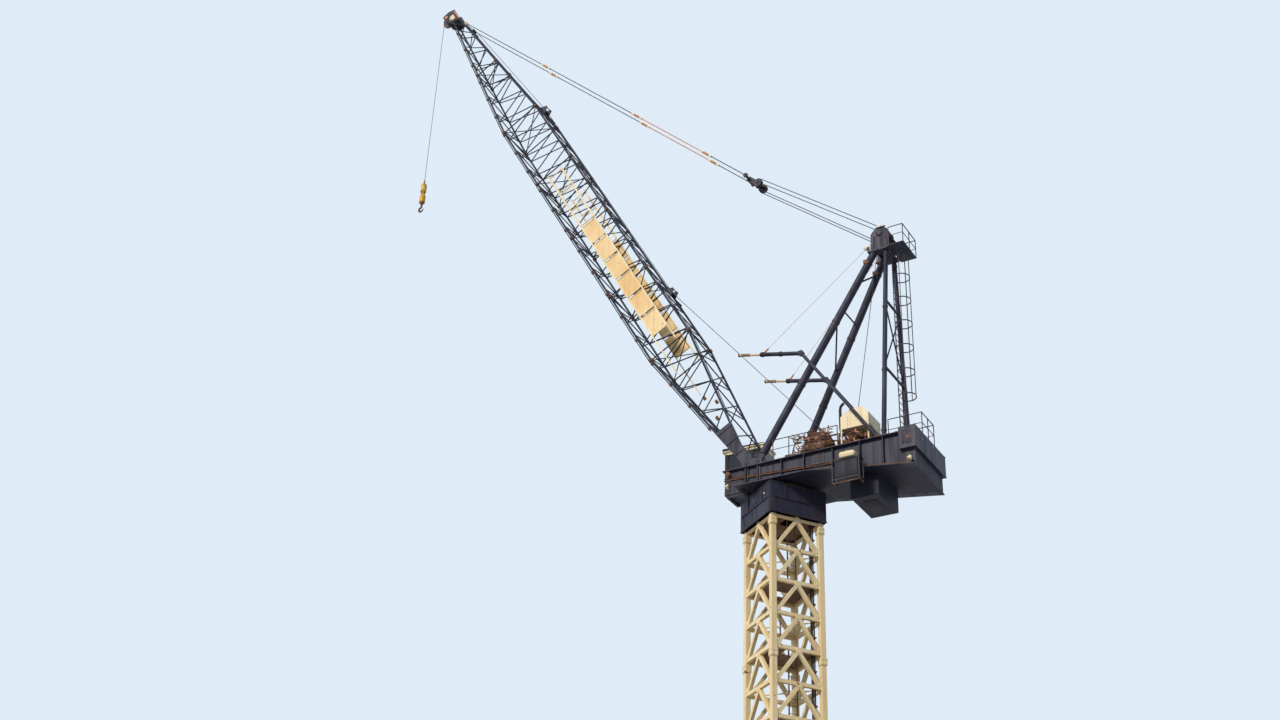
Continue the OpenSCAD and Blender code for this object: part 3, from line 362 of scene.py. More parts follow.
class Shade:
    """Wires up the nodes of one material on Object coordinates."""

    def __init__(self, name: str) -> None:
        """Start a material with a bare shader.

        Args:
            name: The material's name.
        """
        self.material = bpy.data.materials.new(name)
        self.material.use_nodes = True
        self.tree = self.material.node_tree
        self.shader = next(n for n in self.tree.nodes if n.type == "BSDF_PRINCIPLED")
        self.where = self.tree.nodes.new("ShaderNodeTexCoord").outputs["Object"]

    def link(self, out: Source | Colour, into: bpy.types.NodeSocket) -> None:
        """Feed a socket from another one, or set it to a plain value.

        Args:
            out: The socket that feeds it, or the number or colour that it is set to.
            into: The socket.
        """
        if isinstance(out, bpy.types.NodeSocket):
            self.tree.links.new(out, into)
        elif isinstance(out, tuple):
            into.default_value = (*out, 1.0)
        else:
            into.default_value = out

    def set(self, **values: Any) -> None:
        """Set or feed the shader's sockets, named with underscores for spaces."""
        for name, value in values.items():
            self.link(value, self.shader.inputs[name.replace("_", " ")])

    def noise(self, scale: float, detail: float = 4.0, stretch: Point = (1.0, 1.0, 1.0)) -> Source:
        """Add noise.

        Args:
            scale: How many patches of it a metre holds.
            detail: How finely each patch is broken up.
            stretch: How much closer its patches lie along each axis.

        Returns:
            Its strength, from 0 to 1.
        """
        mapping = self.tree.nodes.new("ShaderNodeMapping")
        mapping.inputs["Scale"].default_value = stretch
        self.link(self.where, mapping.inputs["Vector"])
        node = self.tree.nodes.new("ShaderNodeTexNoise")
        node.inputs["Scale"].default_value = scale
        node.inputs["Detail"].default_value = detail
        self.link(mapping.outputs["Vector"], node.inputs["Vector"])
        return node.outputs["Fac"]

    def ramp(self, source: Source, low: float, high: float, start: float = 0.0,
             stop: float = 1.0) -> Source:
        """Spread a range of values over another one, and hold it there.

        Args:
            source: The value.
            low: The value that becomes start.
            high: The value that becomes stop.
            start: What low becomes.
            stop: What high becomes.

        Returns:
            The value after that.
        """
        node = self.tree.nodes.new("ShaderNodeMapRange")
        self.link(source, node.inputs["Value"])
        for name, value in (("From Min", low), ("From Max", high), ("To Min", start), ("To Max", stop)):
            node.inputs[name].default_value = value
        return node.outputs["Result"]

    def maths(self, operation: str, a: Source, b: Source) -> Source:
        """Join two values.

        Args:
            operation: The Math node's name for what is done with them.
            a: The first value.
            b: The second value.

        Returns:
            The result.
        """
        node = self.tree.nodes.new("ShaderNodeMath")
        node.operation = operation
        self.link(a, node.inputs[0])
        self.link(b, node.inputs[1])
        return node.outputs[0]

    def mix(self, share: Source, a: Source | Colour, b: Source | Colour) -> Source:
        """Blend two colours.

        Args:
            share: How much of the second one shows, from 0 to 1.
            a: The first colour.
            b: The second colour.

        Returns:
            The blend.
        """
        node = self.tree.nodes.new("ShaderNodeMix")
        node.data_type = "RGBA"
        self.link(share, node.inputs[0])
        self.link(a, node.inputs[6])
        self.link(b, node.inputs[7])
        return node.outputs[2]

    def edges(self, radius: float) -> Source:
        """Find the sharp edges, where paint wears off first.

        Args:
            radius: How far from an edge the wear reaches, in metres.

        Returns:
            1 near sharp edges and 0 away from them.
        """
        bevel = self.tree.nodes.new("ShaderNodeBevel")
        bevel.samples = 4
        bevel.inputs["Radius"].default_value = radius
        flat = self.tree.nodes.new("ShaderNodeNewGeometry")
        dot = self.tree.nodes.new("ShaderNodeVectorMath")
        dot.operation = "DOT_PRODUCT"
        self.link(bevel.outputs["Normal"], dot.inputs[0])
        self.link(flat.outputs["Normal"], dot.inputs[1])
        return self.ramp(dot.outputs["Value"], 0.985, 0.86)

    def upward(self) -> Source:
        """Find the faces that look up, where dust settles.

        Returns:
            1 on those faces and 0 on the others.
        """
        flat = self.tree.nodes.new("ShaderNodeNewGeometry")
        parts = self.tree.nodes.new("ShaderNodeSeparateXYZ")
        self.link(flat.outputs["Normal"], parts.inputs[0])
        return self.ramp(parts.outputs["Z"], 0.55, 0.95)

    def bump(self, height: Source, distance: float, strength: float = 0.5) -> Source:
        """Give the surface a relief.

        Args:
            height: Where it stands high, from 0 to 1.
            distance: How deep it is, in metres.
            strength: How strongly it shows.

        Returns:
            Normals that follow the relief.
        """
        node = self.tree.nodes.new("ShaderNodeBump")
        node.inputs["Strength"].default_value = strength
        node.inputs["Distance"].default_value = distance
        self.link(height, node.inputs["Height"])
        return node.outputs["Normal"]


@dataclass(frozen=True)
class PaintedSteel:
    """Outdoor paint on steel: sun-faded in patches, streaked with rain, rusting at edges and chips."""

    slot: str
    colour: Colour
    faded: Colour
    grime: Colour
    rust: Colour = (0.20, 0.075, 0.03)
    edge: float = 0.0
    chips: float = 0.64
    streaks: float = 0.5
    roughness: float = 0.45
    specular: float = 0.28

    def dress(self, shade: Shade) -> None:
        """Wire up the paint, its fading, rain streaks, rust and dust.

        Args:
            shade: The material to wire up.
        """
        faded = shade.ramp(shade.noise(0.9, 5.0), 0.38, 0.66)
        base = shade.mix(faded, self.colour, self.faded)
        rain = shade.ramp(shade.noise(1.0, 6.0, (9.0, 9.0, 0.7)), 0.46, 0.72, 0.0, self.streaks)
        base = shade.mix(rain, base, self.grime)
        dust = shade.maths("MULTIPLY", shade.upward(), shade.ramp(shade.noise(5.0), 0.35, 0.7, 0.1, 0.6))
        base = shade.mix(dust, base, tuple(0.7 * c + 0.04 for c in self.faded))
        chips = shade.ramp(shade.noise(11.0, 8.0), self.chips, self.chips + 0.05)
        if self.edge:
            patches = shade.ramp(shade.noise(3.0, 6.0), 0.38, 0.62)
            chips = shade.maths("MAXIMUM", chips, shade.maths("MULTIPLY", shade.edges(self.edge), patches))
        rust = shade.mix(shade.noise(40.0), self.rust, tuple(0.4 * c for c in self.rust))
        shade.set(Base_Color=shade.mix(chips, base, rust),
                  Roughness=shade.ramp(shade.maths("MAXIMUM", chips, rain), 0.0, 1.0, self.roughness, 0.85))
        grain = shade.maths("ADD", shade.noise(55.0, 3.0), shade.maths("MULTIPLY", chips, 0.8))
        shade.set(Normal=shade.bump(grain, 0.0015, 0.45), Specular_IOR_Level=self.specular)


@dataclass(frozen=True)
class BareSteel:
    """Oily or rusty bare metal, blotched from one colour to another."""

    slot: str
    colour: Colour
    second: Colour
    metal: float = 0.4
    roughness: float = 0.55
    grain: float = 18.0

    def dress(self, shade: Shade) -> None:
        """Wire up the blotches, the film of oil and the pitting.

        Args:
            shade: The material to wire up.
        """
        blotch = shade.ramp(shade.noise(4.0, 7.0), 0.35, 0.68)
        fine = shade.ramp(shade.noise(self.grain, 6.0), 0.3, 0.7)
        base = shade.mix(blotch, self.colour, self.second)
        base = shade.mix(shade.maths("MULTIPLY", fine, 0.5), base, tuple(0.35 * c for c in self.colour))
        shade.set(Base_Color=base, Metallic=self.metal,
                  Roughness=shade.ramp(fine, 0.0, 1.0, self.roughness - 0.12, self.roughness + 0.25),
                  Normal=shade.bump(shade.noise(self.grain * 3, 4.0), 0.0012, 0.5))


@dataclass(frozen=True)
class WireRope:
    """Greased wire rope, with its strands laid round it."""

    slot: str
    colour: Colour
    shine: Colour

    def dress(self, shade: Shade) -> None:
        """Wire up the lay of the strands, the grease and the dry stretches.

        Args:
            shade: The material to wire up.
        """
        lay = shade.tree.nodes.new("ShaderNodeTexWave")
        lay.bands_direction = "DIAGONAL"
        lay.inputs["Scale"].default_value = 42.0
        shade.link(shade.where, lay.inputs["Vector"])
        dry = shade.ramp(shade.noise(1.5, 5.0), 0.4, 0.7)
        base = shade.mix(shade.maths("MULTIPLY", dry, lay.outputs["Fac"]), self.colour, self.shine)
        shade.set(Base_Color=base, Metallic=0.6, Roughness=shade.ramp(dry, 0.0, 1.0, 0.4, 0.62),
                  Normal=shade.bump(lay.outputs["Fac"], 0.002, 0.6))


@dataclass(frozen=True)
class Grating:
    """Brown walkway plate with a raised tread, worn down to bare steel in the middle of its runs."""

    slot: str
    colour: Colour
    worn: Colour

    def dress(self, shade: Shade) -> None:
        """Wire up the tread, the wear and the dirt between the bars.

        Args:
            shade: The material to wire up.
        """
        tread = shade.tree.nodes.new("ShaderNodeTexBrick")
        tread.inputs["Scale"].default_value = 9.0
        tread.inputs["Mortar Size"].default_value = 0.03
        shade.link(shade.where, tread.inputs["Vector"])
        wear = shade.ramp(shade.noise(2.2, 6.0), 0.42, 0.68)
        base = shade.mix(wear, self.colour, self.worn)
        base = shade.mix(shade.maths("MULTIPLY", tread.outputs["Fac"], 0.7), base,
                         tuple(0.3 * c for c in self.colour))
        shade.set(Base_Color=base, Roughness=shade.ramp(wear, 0.0, 1.0, 0.8, 0.55),
                  Normal=shade.bump(tread.outputs["Fac"], 0.004, 0.7))


@dataclass(frozen=True)
class Concrete:
    """Cast slabs with stains and small air holes."""

    slot: str
    colour: Colour
    stain: Colour

    def dress(self, shade: Shade) -> None:
        """Wire up the cloudy casting, the stains and the holes.

        Args:
            shade: The material to wire up.
        """
        cloud = shade.ramp(shade.noise(3.0, 7.0), 0.35, 0.68)
        holes = shade.ramp(shade.noise(70.0, 2.0), 0.68, 0.76)
        base = shade.mix(cloud, self.colour, self.stain)
        shade.set(Base_Color=shade.mix(holes, base, tuple(0.4 * c for c in self.stain)), Roughness=0.88,
                  Normal=shade.bump(shade.maths("SUBTRACT", shade.noise(25.0), holes), 0.003, 0.5))


@dataclass(frozen=True)
class CabGlass:
    """Tinted window glass with a film of dust."""

    slot: str
    tint: Colour

    def dress(self, shade: Shade) -> None:
        """Wire up the tint, the gloss and the dust.

        Args:
            shade: The material to wire up.
        """
        dust = shade.ramp(shade.noise(3.0, 6.0, (1.0, 1.0, 0.5)), 0.45, 0.75, 0.0, 0.35)
        shade.set(Base_Color=shade.mix(dust, self.tint, (0.30, 0.30, 0.28)), Transmission_Weight=0.75,
                  Roughness=shade.ramp(dust, 0.0, 0.35, 0.04, 0.3), IOR=1.45)


class Finish(Enum):
    """What the crane's pieces are painted with or made of."""

    CREAM = PaintedSteel("cream_paint", (0.84, 0.67, 0.37), (0.90, 0.77, 0.50), (0.50, 0.32, 0.14),
                         rust=(0.30, 0.12, 0.045), chips=0.68, streaks=0.3, roughness=0.5)
    CABIN = PaintedSteel("cream_paint", (0.80, 0.68, 0.44), (0.88, 0.78, 0.54), (0.42, 0.30, 0.17),
                         edge=0.010, chips=0.69, streaks=0.3, roughness=0.4)
    PANEL = PaintedSteel("cream_paint", (0.80, 0.54, 0.24), (0.88, 0.68, 0.38), (0.46, 0.26, 0.10),
                         chips=0.68, streaks=0.3, roughness=0.5)
    NAVY = PaintedSteel("navy_paint", (0.016, 0.019, 0.042), (0.042, 0.042, 0.070), (0.008, 0.009, 0.017),
                        edge=0.013, chips=0.67, streaks=0.6, roughness=0.5)
    JIB = PaintedSteel("navy_paint", (0.010, 0.013, 0.030), (0.028, 0.030, 0.052), (0.006, 0.007, 0.014),
                       chips=0.68, streaks=0.3, roughness=0.5)
    # A darker copy of the navy paint: painted shade on the deck's underside, its ribs and the machinery pit.
    # The cab's roof and the cabinet's doors wear it as well.
    DARK = PaintedSteel("dark_underside", (0.008, 0.010, 0.024), (0.018, 0.020, 0.038), (0.024, 0.014, 0.010),
                        chips=0.66, streaks=0.35, roughness=0.6)
    FLOOR = PaintedSteel("floor_plate", (0.055, 0.058, 0.070), (0.10, 0.10, 0.11), (0.09, 0.05, 0.03),
                         chips=0.60, streaks=0.5, roughness=0.7)
    SALMON = PaintedSteel("salmon_paint", (0.62, 0.24, 0.12), (0.72, 0.38, 0.24), (0.30, 0.10, 0.05),
                          chips=0.68, streaks=0.3)
    YELLOW = PaintedSteel("yellow_paint", (0.74, 0.42, 0.035), (0.80, 0.55, 0.13), (0.24, 0.12, 0.03),
                          chips=0.60, streaks=0.5)
    ORANGE = PaintedSteel("salmon_paint", (0.50, 0.13, 0.03), (0.62, 0.24, 0.08), (0.20, 0.06, 0.02),
                          chips=0.60, streaks=0.5)
    MACHINE = BareSteel("winch_paint", (0.16, 0.062, 0.028), (0.085, 0.050, 0.036))
    RING = BareSteel("ring_steel", (0.20, 0.085, 0.040), (0.09, 0.055, 0.038), metal=0.5)
    RUSTY = BareSteel("ring_steel", (0.21, 0.100, 0.052), (0.11, 0.056, 0.032), metal=0.15, roughness=0.7)
    SHEAVE = BareSteel("sheave_steel", (0.040, 0.045, 0.070), (0.09, 0.065, 0.055), metal=0.5)
    HOOK = BareSteel("hook_steel", (0.17, 0.075, 0.035), (0.09, 0.05, 0.03), metal=0.5)
    SOOT = BareSteel("wire_rope", (0.020, 0.019, 0.020), (0.055, 0.035, 0.026), metal=0.3, roughness=0.7)
    ROPE = WireRope("wire_rope", (0.030, 0.030, 0.034), (0.12, 0.11, 0.11))
    ROD = PaintedSteel("salmon_paint", (0.72, 0.50, 0.31), (0.80, 0.62, 0.42), (0.40, 0.24, 0.13),
                       chips=0.68, streaks=0.3)
    GRATING = Grating("brown_grating", (0.20, 0.105, 0.06), (0.28, 0.17, 0.11))
    SLABS = Concrete("slab_concrete", (0.42, 0.41, 0.38), (0.27, 0.25, 0.22))
    GLASS = CabGlass("cab_glass", (0.05, 0.075, 0.10))

    @property
    def material(self) -> bpy.types.Material:
        """Find this finish's material.

        Returns:
            The material, which is made the first time it is asked for.
        """
        name = f"crane_{self.name.lower()}"
        if name not in bpy.data.materials:
            shade = Shade(name)
            self.value.dress(shade)
        return bpy.data.materials[name]


def dress(finish: Finish, *nodes: str) -> None:
    """Put a finish on CAD nodes whose shape stays as it is.

    Args:
        finish: The finish.
        *nodes: Names of the CAD nodes.
    """
    for node in nodes:
        owner = frame["nodes"][node]
        if not owner.material_slots:
            owner.data.materials.append(finish.material)
        for slot in owner.material_slots:
            slot.material = finish.material
        log.info("%s: %s", node, finish.name.lower())


# Sub-assemblies


@dataclass
class Mast:
    """The cross base and the lattice mast, in the row frame."""

    space: Space
    base: float = 0.275
    half: float = 0.55
    leg: float = 0.11
    bar: float = 0.072
    panel: float = 0.704
    panels: int = 24
    section: int = 4

    def build(self) -> None:
        """Dress the mast and add its joint plates, bolts, plan bars and cable run."""
        dress(Finish.CREAM, "base_frame", "mast_legs", "mast_front_bracing", "mast_back_bracing",
              "mast_left_bracing", "mast_right_bracing")
        dress(Finish.GRATING, "mast_platforms", "mast_ladders")
        self.joint_plates()
        self.splices()
        self.plan_bars()
        self.cable_run()

    def joint_plates(self) -> None:
        """Add the plates that join the bracing to the level bars and the legs."""
        plates = Shaper(self.space)
        out = self.half + self.bar / 2 + 0.002
        for side in range(4):
            plates.space = self.space.turned(side * TURN / 4)
            for k in range(self.panels + 1):
                z = self.base + k * self.panel
                if k:
                    plates.plate([(-0.075, z - 0.08), (0.075, z - 0.08), (0.045, z + 0.03),
                                  (-0.045, z + 0.03)], -out, 0.008)
                if k < self.panels:
                    for s in (-1, 1):
                        plates.plate([(s * 0.494, z + 0.03), (s * 0.494, z + 0.13), (s * 0.47, z + 0.13),
                                      (s * 0.42, z + 0.03)], -out, 0.008)
        plates.piece("mast_joint_plates", "tower", Finish.CREAM)

    def splices(self) -> None:
        """Add the bolts of the collars where two mast sections meet."""
        heads = Shaper(self.space)
        face = self.leg / 2 + 0.014
        for k in range(1, self.panels // self.section + 1):
            z = self.base + k * self.section * self.panel - self.bar - 0.085
            for x in (-1, 1):
                for y in (-1, 1):
                    for u in (-0.035, 0.035):
                        cx, cy = x * self.half, y * self.half
                        one, other = (cx + x * face, cy + u), (cx + u, cy + y * face)
                        heads.bolts((*one, z - 0.045), (*one, z + 0.045), 2, (x, 0, 0), 0.014, 0.014)
                        heads.bolts((*other, z - 0.045), (*other, z + 0.045), 2, (0, y, 0), 0.014, 0.014)
        heads.piece("mast_collar_bolts", "tower", Finish.CREAM)

    def plan_bars(self) -> None:
        """Add the thin level crosses of the panels that have no platform."""
        bars = Shaper(self.space)
        reach = self.half - self.leg / 2 + 0.01
        for k in range(1, self.panels, 2):
            z = self.base + k * self.panel
            bars.tube((-reach, -reach, z - 0.017), (reach, reach, z - 0.017), 0.016, 8)
            bars.tube((-reach, reach, z + 0.017), (reach, -reach, z + 0.017), 0.016, 8)
        bars.piece("mast_plan_bars", "tower", Finish.CREAM)

    def cable_run(self) -> None:
        """Add the power cables clipped up the inside of a back leg."""
        run, clips = Shaper(self.space), Shaper(self.space)
        top = self.base + self.panels * self.panel
        for k, radius in enumerate((0.016, 0.012, 0.014)):
            y = -0.36 - 0.034 * k
            run.tube((-0.455, y, self.base + 0.1), (-0.455, y, top), radius, 10)
        for k in range(1, 2 * self.panels):
            z = self.base + k * self.panel / 2
            clips.box((-0.50, -0.455, z - 0.015), (-0.435, -0.335, z + 0.015), 0.004)
        run.piece("mast_power_cables", "tower", Finish.SOOT)
        clips.piece("mast_cable_clips", "tower", Finish.RUSTY)


@dataclass
class TowerTop:
    """The box on the mast and the slewing ring, in the deck's height but the mast's turn."""

    space: Space
    half: float = 0.6525
    high: float = 0.705
    ring: float = 0.575
    ring_h: float = 0.045

    def build(self) -> None:
        """Dress the box and the ring, and add ribs, a hatch, a lamp and the ring's teeth."""
        dress(Finish.NAVY, "tower_top")
        dress(Finish.RING, "slew_ring")
        ribs, lamp = Shaper(self.space), Shaper(self.space)
        for side in range(4):
            ribs.space = self.space.turned(side * TURN / 4)
            for x in (-0.30, 0.30):
                ribs.box((x - 0.008, -self.half - 0.02, 0.37), (x + 0.008, -self.half, 0.685))
            for s in (-1, 1):
                ribs.plate([(s * 0.60, 0.045), (s * 0.60, 0.345), (s * 0.565, 0.345), (s * 0.42, 0.045)],
                           -self.half - 0.006, 0.012)
                ribs.box((s * 0.61 - 0.022, -self.half - 0.012, 0.045),
                         (s * 0.61 + 0.022, -self.half, 0.345))
        ribs.space = lamp.space = self.space.turned(TURN / 2)
        ribs.box((-0.16, -self.half - 0.008, 0.43), (0.16, -self.half, 0.63), 0.003)
        lamp.tube((0.40, -self.half - 0.018, 0.50), (0.40, -self.half, 0.50), 0.020, 16)
        ribs.piece("tower_top_ribs", "tower", Finish.NAVY)
        lamp.piece("tower_top_lamp", "tower", Finish.CREAM)
        self.ring_teeth()

    def ring_teeth(self) -> None:
        """Add the teeth round the slewing ring."""
        teeth, count = Shaper(self.space), 96
        root, tip = self.ring - 0.004, self.ring + 0.02
        low, high = self.high + 0.004, self.high + self.ring_h - 0.005
        for k in range(count):
            teeth.space = self.space.turned(k * TURN / count)
            teeth.plate([(root, low), (tip, low), (tip, high), (root, high)], 0.0, 0.02)
        teeth.piece("slew_ring_teeth", "tower", Finish.RING)


@dataclass
class Deck:
    """The girders, floor, handrails and tail of the machinery deck, in the deck's axes."""

    space: Space
    top: float = 1.2108
    bottom: float = 0.7958
    girder_y: float = GIRDER_Y
    rear: float = 3.255
    beam_high: float = 1.2908

    def build(self) -> None:
        """Dress the deck and add its web fittings, floor seams, underside and tail fittings, and lamps."""
        dress(Finish.NAVY, "left_girder", "right_girder", "deck_handrails", "counterweight_beam",
              "rear_platform")
        # The underside and the pit take the darker navy: painted shade, where the deck is seen from below.
        dress(Finish.DARK, "deck_underside", "machinery_pit")
        dress(Finish.FLOOR, "deck_floor")
        dress(Finish.SLABS, "counterweight_slabs")
        self.web_fittings()
        self.floor_seams()
        self.under_fittings()
        self.tail_fittings()
        self.lamps()

    def web_fittings(self) -> None:
        """Add splice plates, stiffeners under the pins, pipes, clips and lifting eyes to both girders."""
        plates, heads, pipes = (Shaper(self.space) for _ in range(3))
        for s in (-1, 1):
            web, eye = s * (self.girder_y + 0.008), s * (self.girder_y - 0.05)
            near, far = web + s * 0.022, web + s * 0.03
            for x in (0.70, -1.18):
                plates.plate([(x - 0.12, 0.83), (x + 0.12, 0.83), (x + 0.12, 1.16), (x - 0.12, 1.16)],
                             web + s * 0.005, 0.01)
                for u in (-0.09, -0.03, 0.03, 0.09):
                    heads.bolts((x + u, web + s * 0.01, 0.86), (x + u, web + s * 0.01, 1.13), 5, (0, s, 0),
                                0.011, 0.012)
            for lift, radius in ((0.0, 0.014), (0.038, 0.009)):
                pipes.sweep([(0.995, far, 0.99 + lift), (0.4, near, 0.965 + lift), (-0.7, near, 0.90 + lift),
                             (-1.985, near, 0.82 + lift)], radius)
            pipes.tube((-2.28, s * 0.79, 0.6105), (-3.20, s * 0.79, 0.4703), 0.012, 10)
            for x in (0.86, 0.33, -0.12, -0.58, -1.36, -1.76):
                z = 0.945 + 0.055 * x
                pipes.box((x - 0.006, web, z - 0.01), (x + 0.006, web + s * 0.036, z + 0.055))
            for x in (0.475, 0.195):
                plates.box((x - 0.05, web, 0.816), (x + 0.05, far, 1.19), 0.004)
            for x in (0.92, -0.62, -2.85):
                plates.ring((x, eye, self.top + 0.045), (0, 1, 0), 0.016, 0.040, 0.008)
                plates.box((x - 0.035, eye - 0.008, self.top), (x + 0.035, eye + 0.008, self.top + 0.02))
        plates.piece("girder_splice_plates", "upper", Finish.NAVY)
        heads.piece("girder_splice_bolts", "upper", Finish.RUSTY)
        pipes.piece("girder_conduits", "upper", Finish.RUSTY)

    def floor_seams(self) -> None:
        """Add the lap strips and tread bars of the floor plates."""
        strips = Shaper(self.space)
        floor = self.top - 0.008
        for k in range(7):
            x = 0.70 - k * 0.42
            strips.box((x - 0.02, -0.60, floor), (x + 0.02, 0.60, floor + 0.005))
        for y in (-0.60, 0.60):
            strips.box((-2.25, y - 0.012, floor), (0.98, y + 0.012, floor + 0.012))
        strips.piece("deck_floor_strips", "upper", Finish.FLOOR)

    def under_fittings(self) -> None:
        """Add ribs, a bolted manhole cover and rows of bolts to the underside and the pit."""
        ribs, heads = Shaper(self.space), Shaper(self.space)
        for x in (0.66, -0.72):
            ribs.box((x - 0.03, -0.62, self.bottom - 0.012), (x + 0.03, 0.62, self.bottom))
        for s in (-1, 1):
            ribs.box((-1.75, s * 0.50 - 0.006, 0.60), (-2.36, s * 0.50 + 0.006, 0.10))
        for x in (-1.765, -2.355):
            side = 0.004 if x > -2 else -0.004
            ribs.box((x, -0.50, 0.30), (x + side, 0.50, 0.34))
        ribs.box((-2.20, -0.28, 0.082), (-1.92, 0.28, 0.09), 0.002)
        for y in (-0.25, 0.25):
            heads.bolts((-2.17, y, 0.082), (-1.95, y, 0.082), 4, (0, 0, -1), 0.012, 0.008)
        for s in (-1, 1):
            heads.bolts((0.45, s * 0.66, self.bottom), (-0.60, s * 0.66, self.bottom), 12, (0, 0, -1),
                        0.012, 0.012)
        # The ribs take the darker navy too: painted shade under the deck and in the pit.
        ribs.piece("underside_ribs", "upper", Finish.DARK)
        heads.piece("underside_bolts", "upper", Finish.RUSTY)

    def tail_fittings(self) -> None:
        """Add the counterweight beam's cover plates, bolts and lifting eyes, and its rear plug."""
        trim, heads = Shaper(self.space), Shaper(self.space)
        back = -self.rear - 0.055
        heads.tube((back - 0.010, 0.48, 1.10), (back, 0.48, 1.10), 0.018, 14)
        for s in (-1, 1):
            end = s * 0.8125
            trim.box((-3.22, end, 0.90), (-3.02, end + s * 0.008, 1.20), 0.002)
            heads.tube((-3.12, end, 1.05), (-3.12, end + s * 0.008, 1.05), 0.05, 6)
            for x in (-3.19, -3.05):
                heads.bolts((x, end + s * 0.002, 0.93), (x, end + s * 0.002, 1.17), 3, (0, s, 0),
                            0.014, 0.006)
            trim.ring((-3.12, s * 0.55, self.beam_high + 0.04), (1, 0, 0), 0.018, 0.045, 0.01)
        trim.piece("tail_beam_trim", "upper", Finish.NAVY)
        heads.piece("tail_beam_bolts", "upper", Finish.SALMON)

    def lamps(self) -> None:
        """Add the work lamps at the nose and the tail's corner, and the cable drum by the nose."""
        shells, arms = Shaper(self.space), Shaper(self.space)
        for x, y, z in ((1.0, 0.60, 0.93), (1.0, -0.60, 0.93), (-3.17, 0.83, 0.55)):
            arms.box((x - 0.015, y - 0.11, z + 0.03), (x + 0.015, y, z + 0.05))
            shells.lathe((x, y, z), (0.5, 0.2, -1.0),
                         [(0.0, -0.05), (0.03, -0.05), (0.05, 0.0), (0.055, 0.03), (0.0, 0.03)], 20)
        arms.lathe((0.88, 0.72, 1.10), (0, 1, 0),
                   [(0.0, 0.0), (0.055, 0.0), (0.055, 0.02), (0.04, 0.02), (0.04, 0.09), (0.055, 0.09),
                    (0.055, 0.11), (0.0, 0.11)], 24)
        shells.piece("deck_lamp_shells", "upper", Finish.CABIN)
        arms.piece("deck_lamp_arms", "upper", Finish.RUSTY)


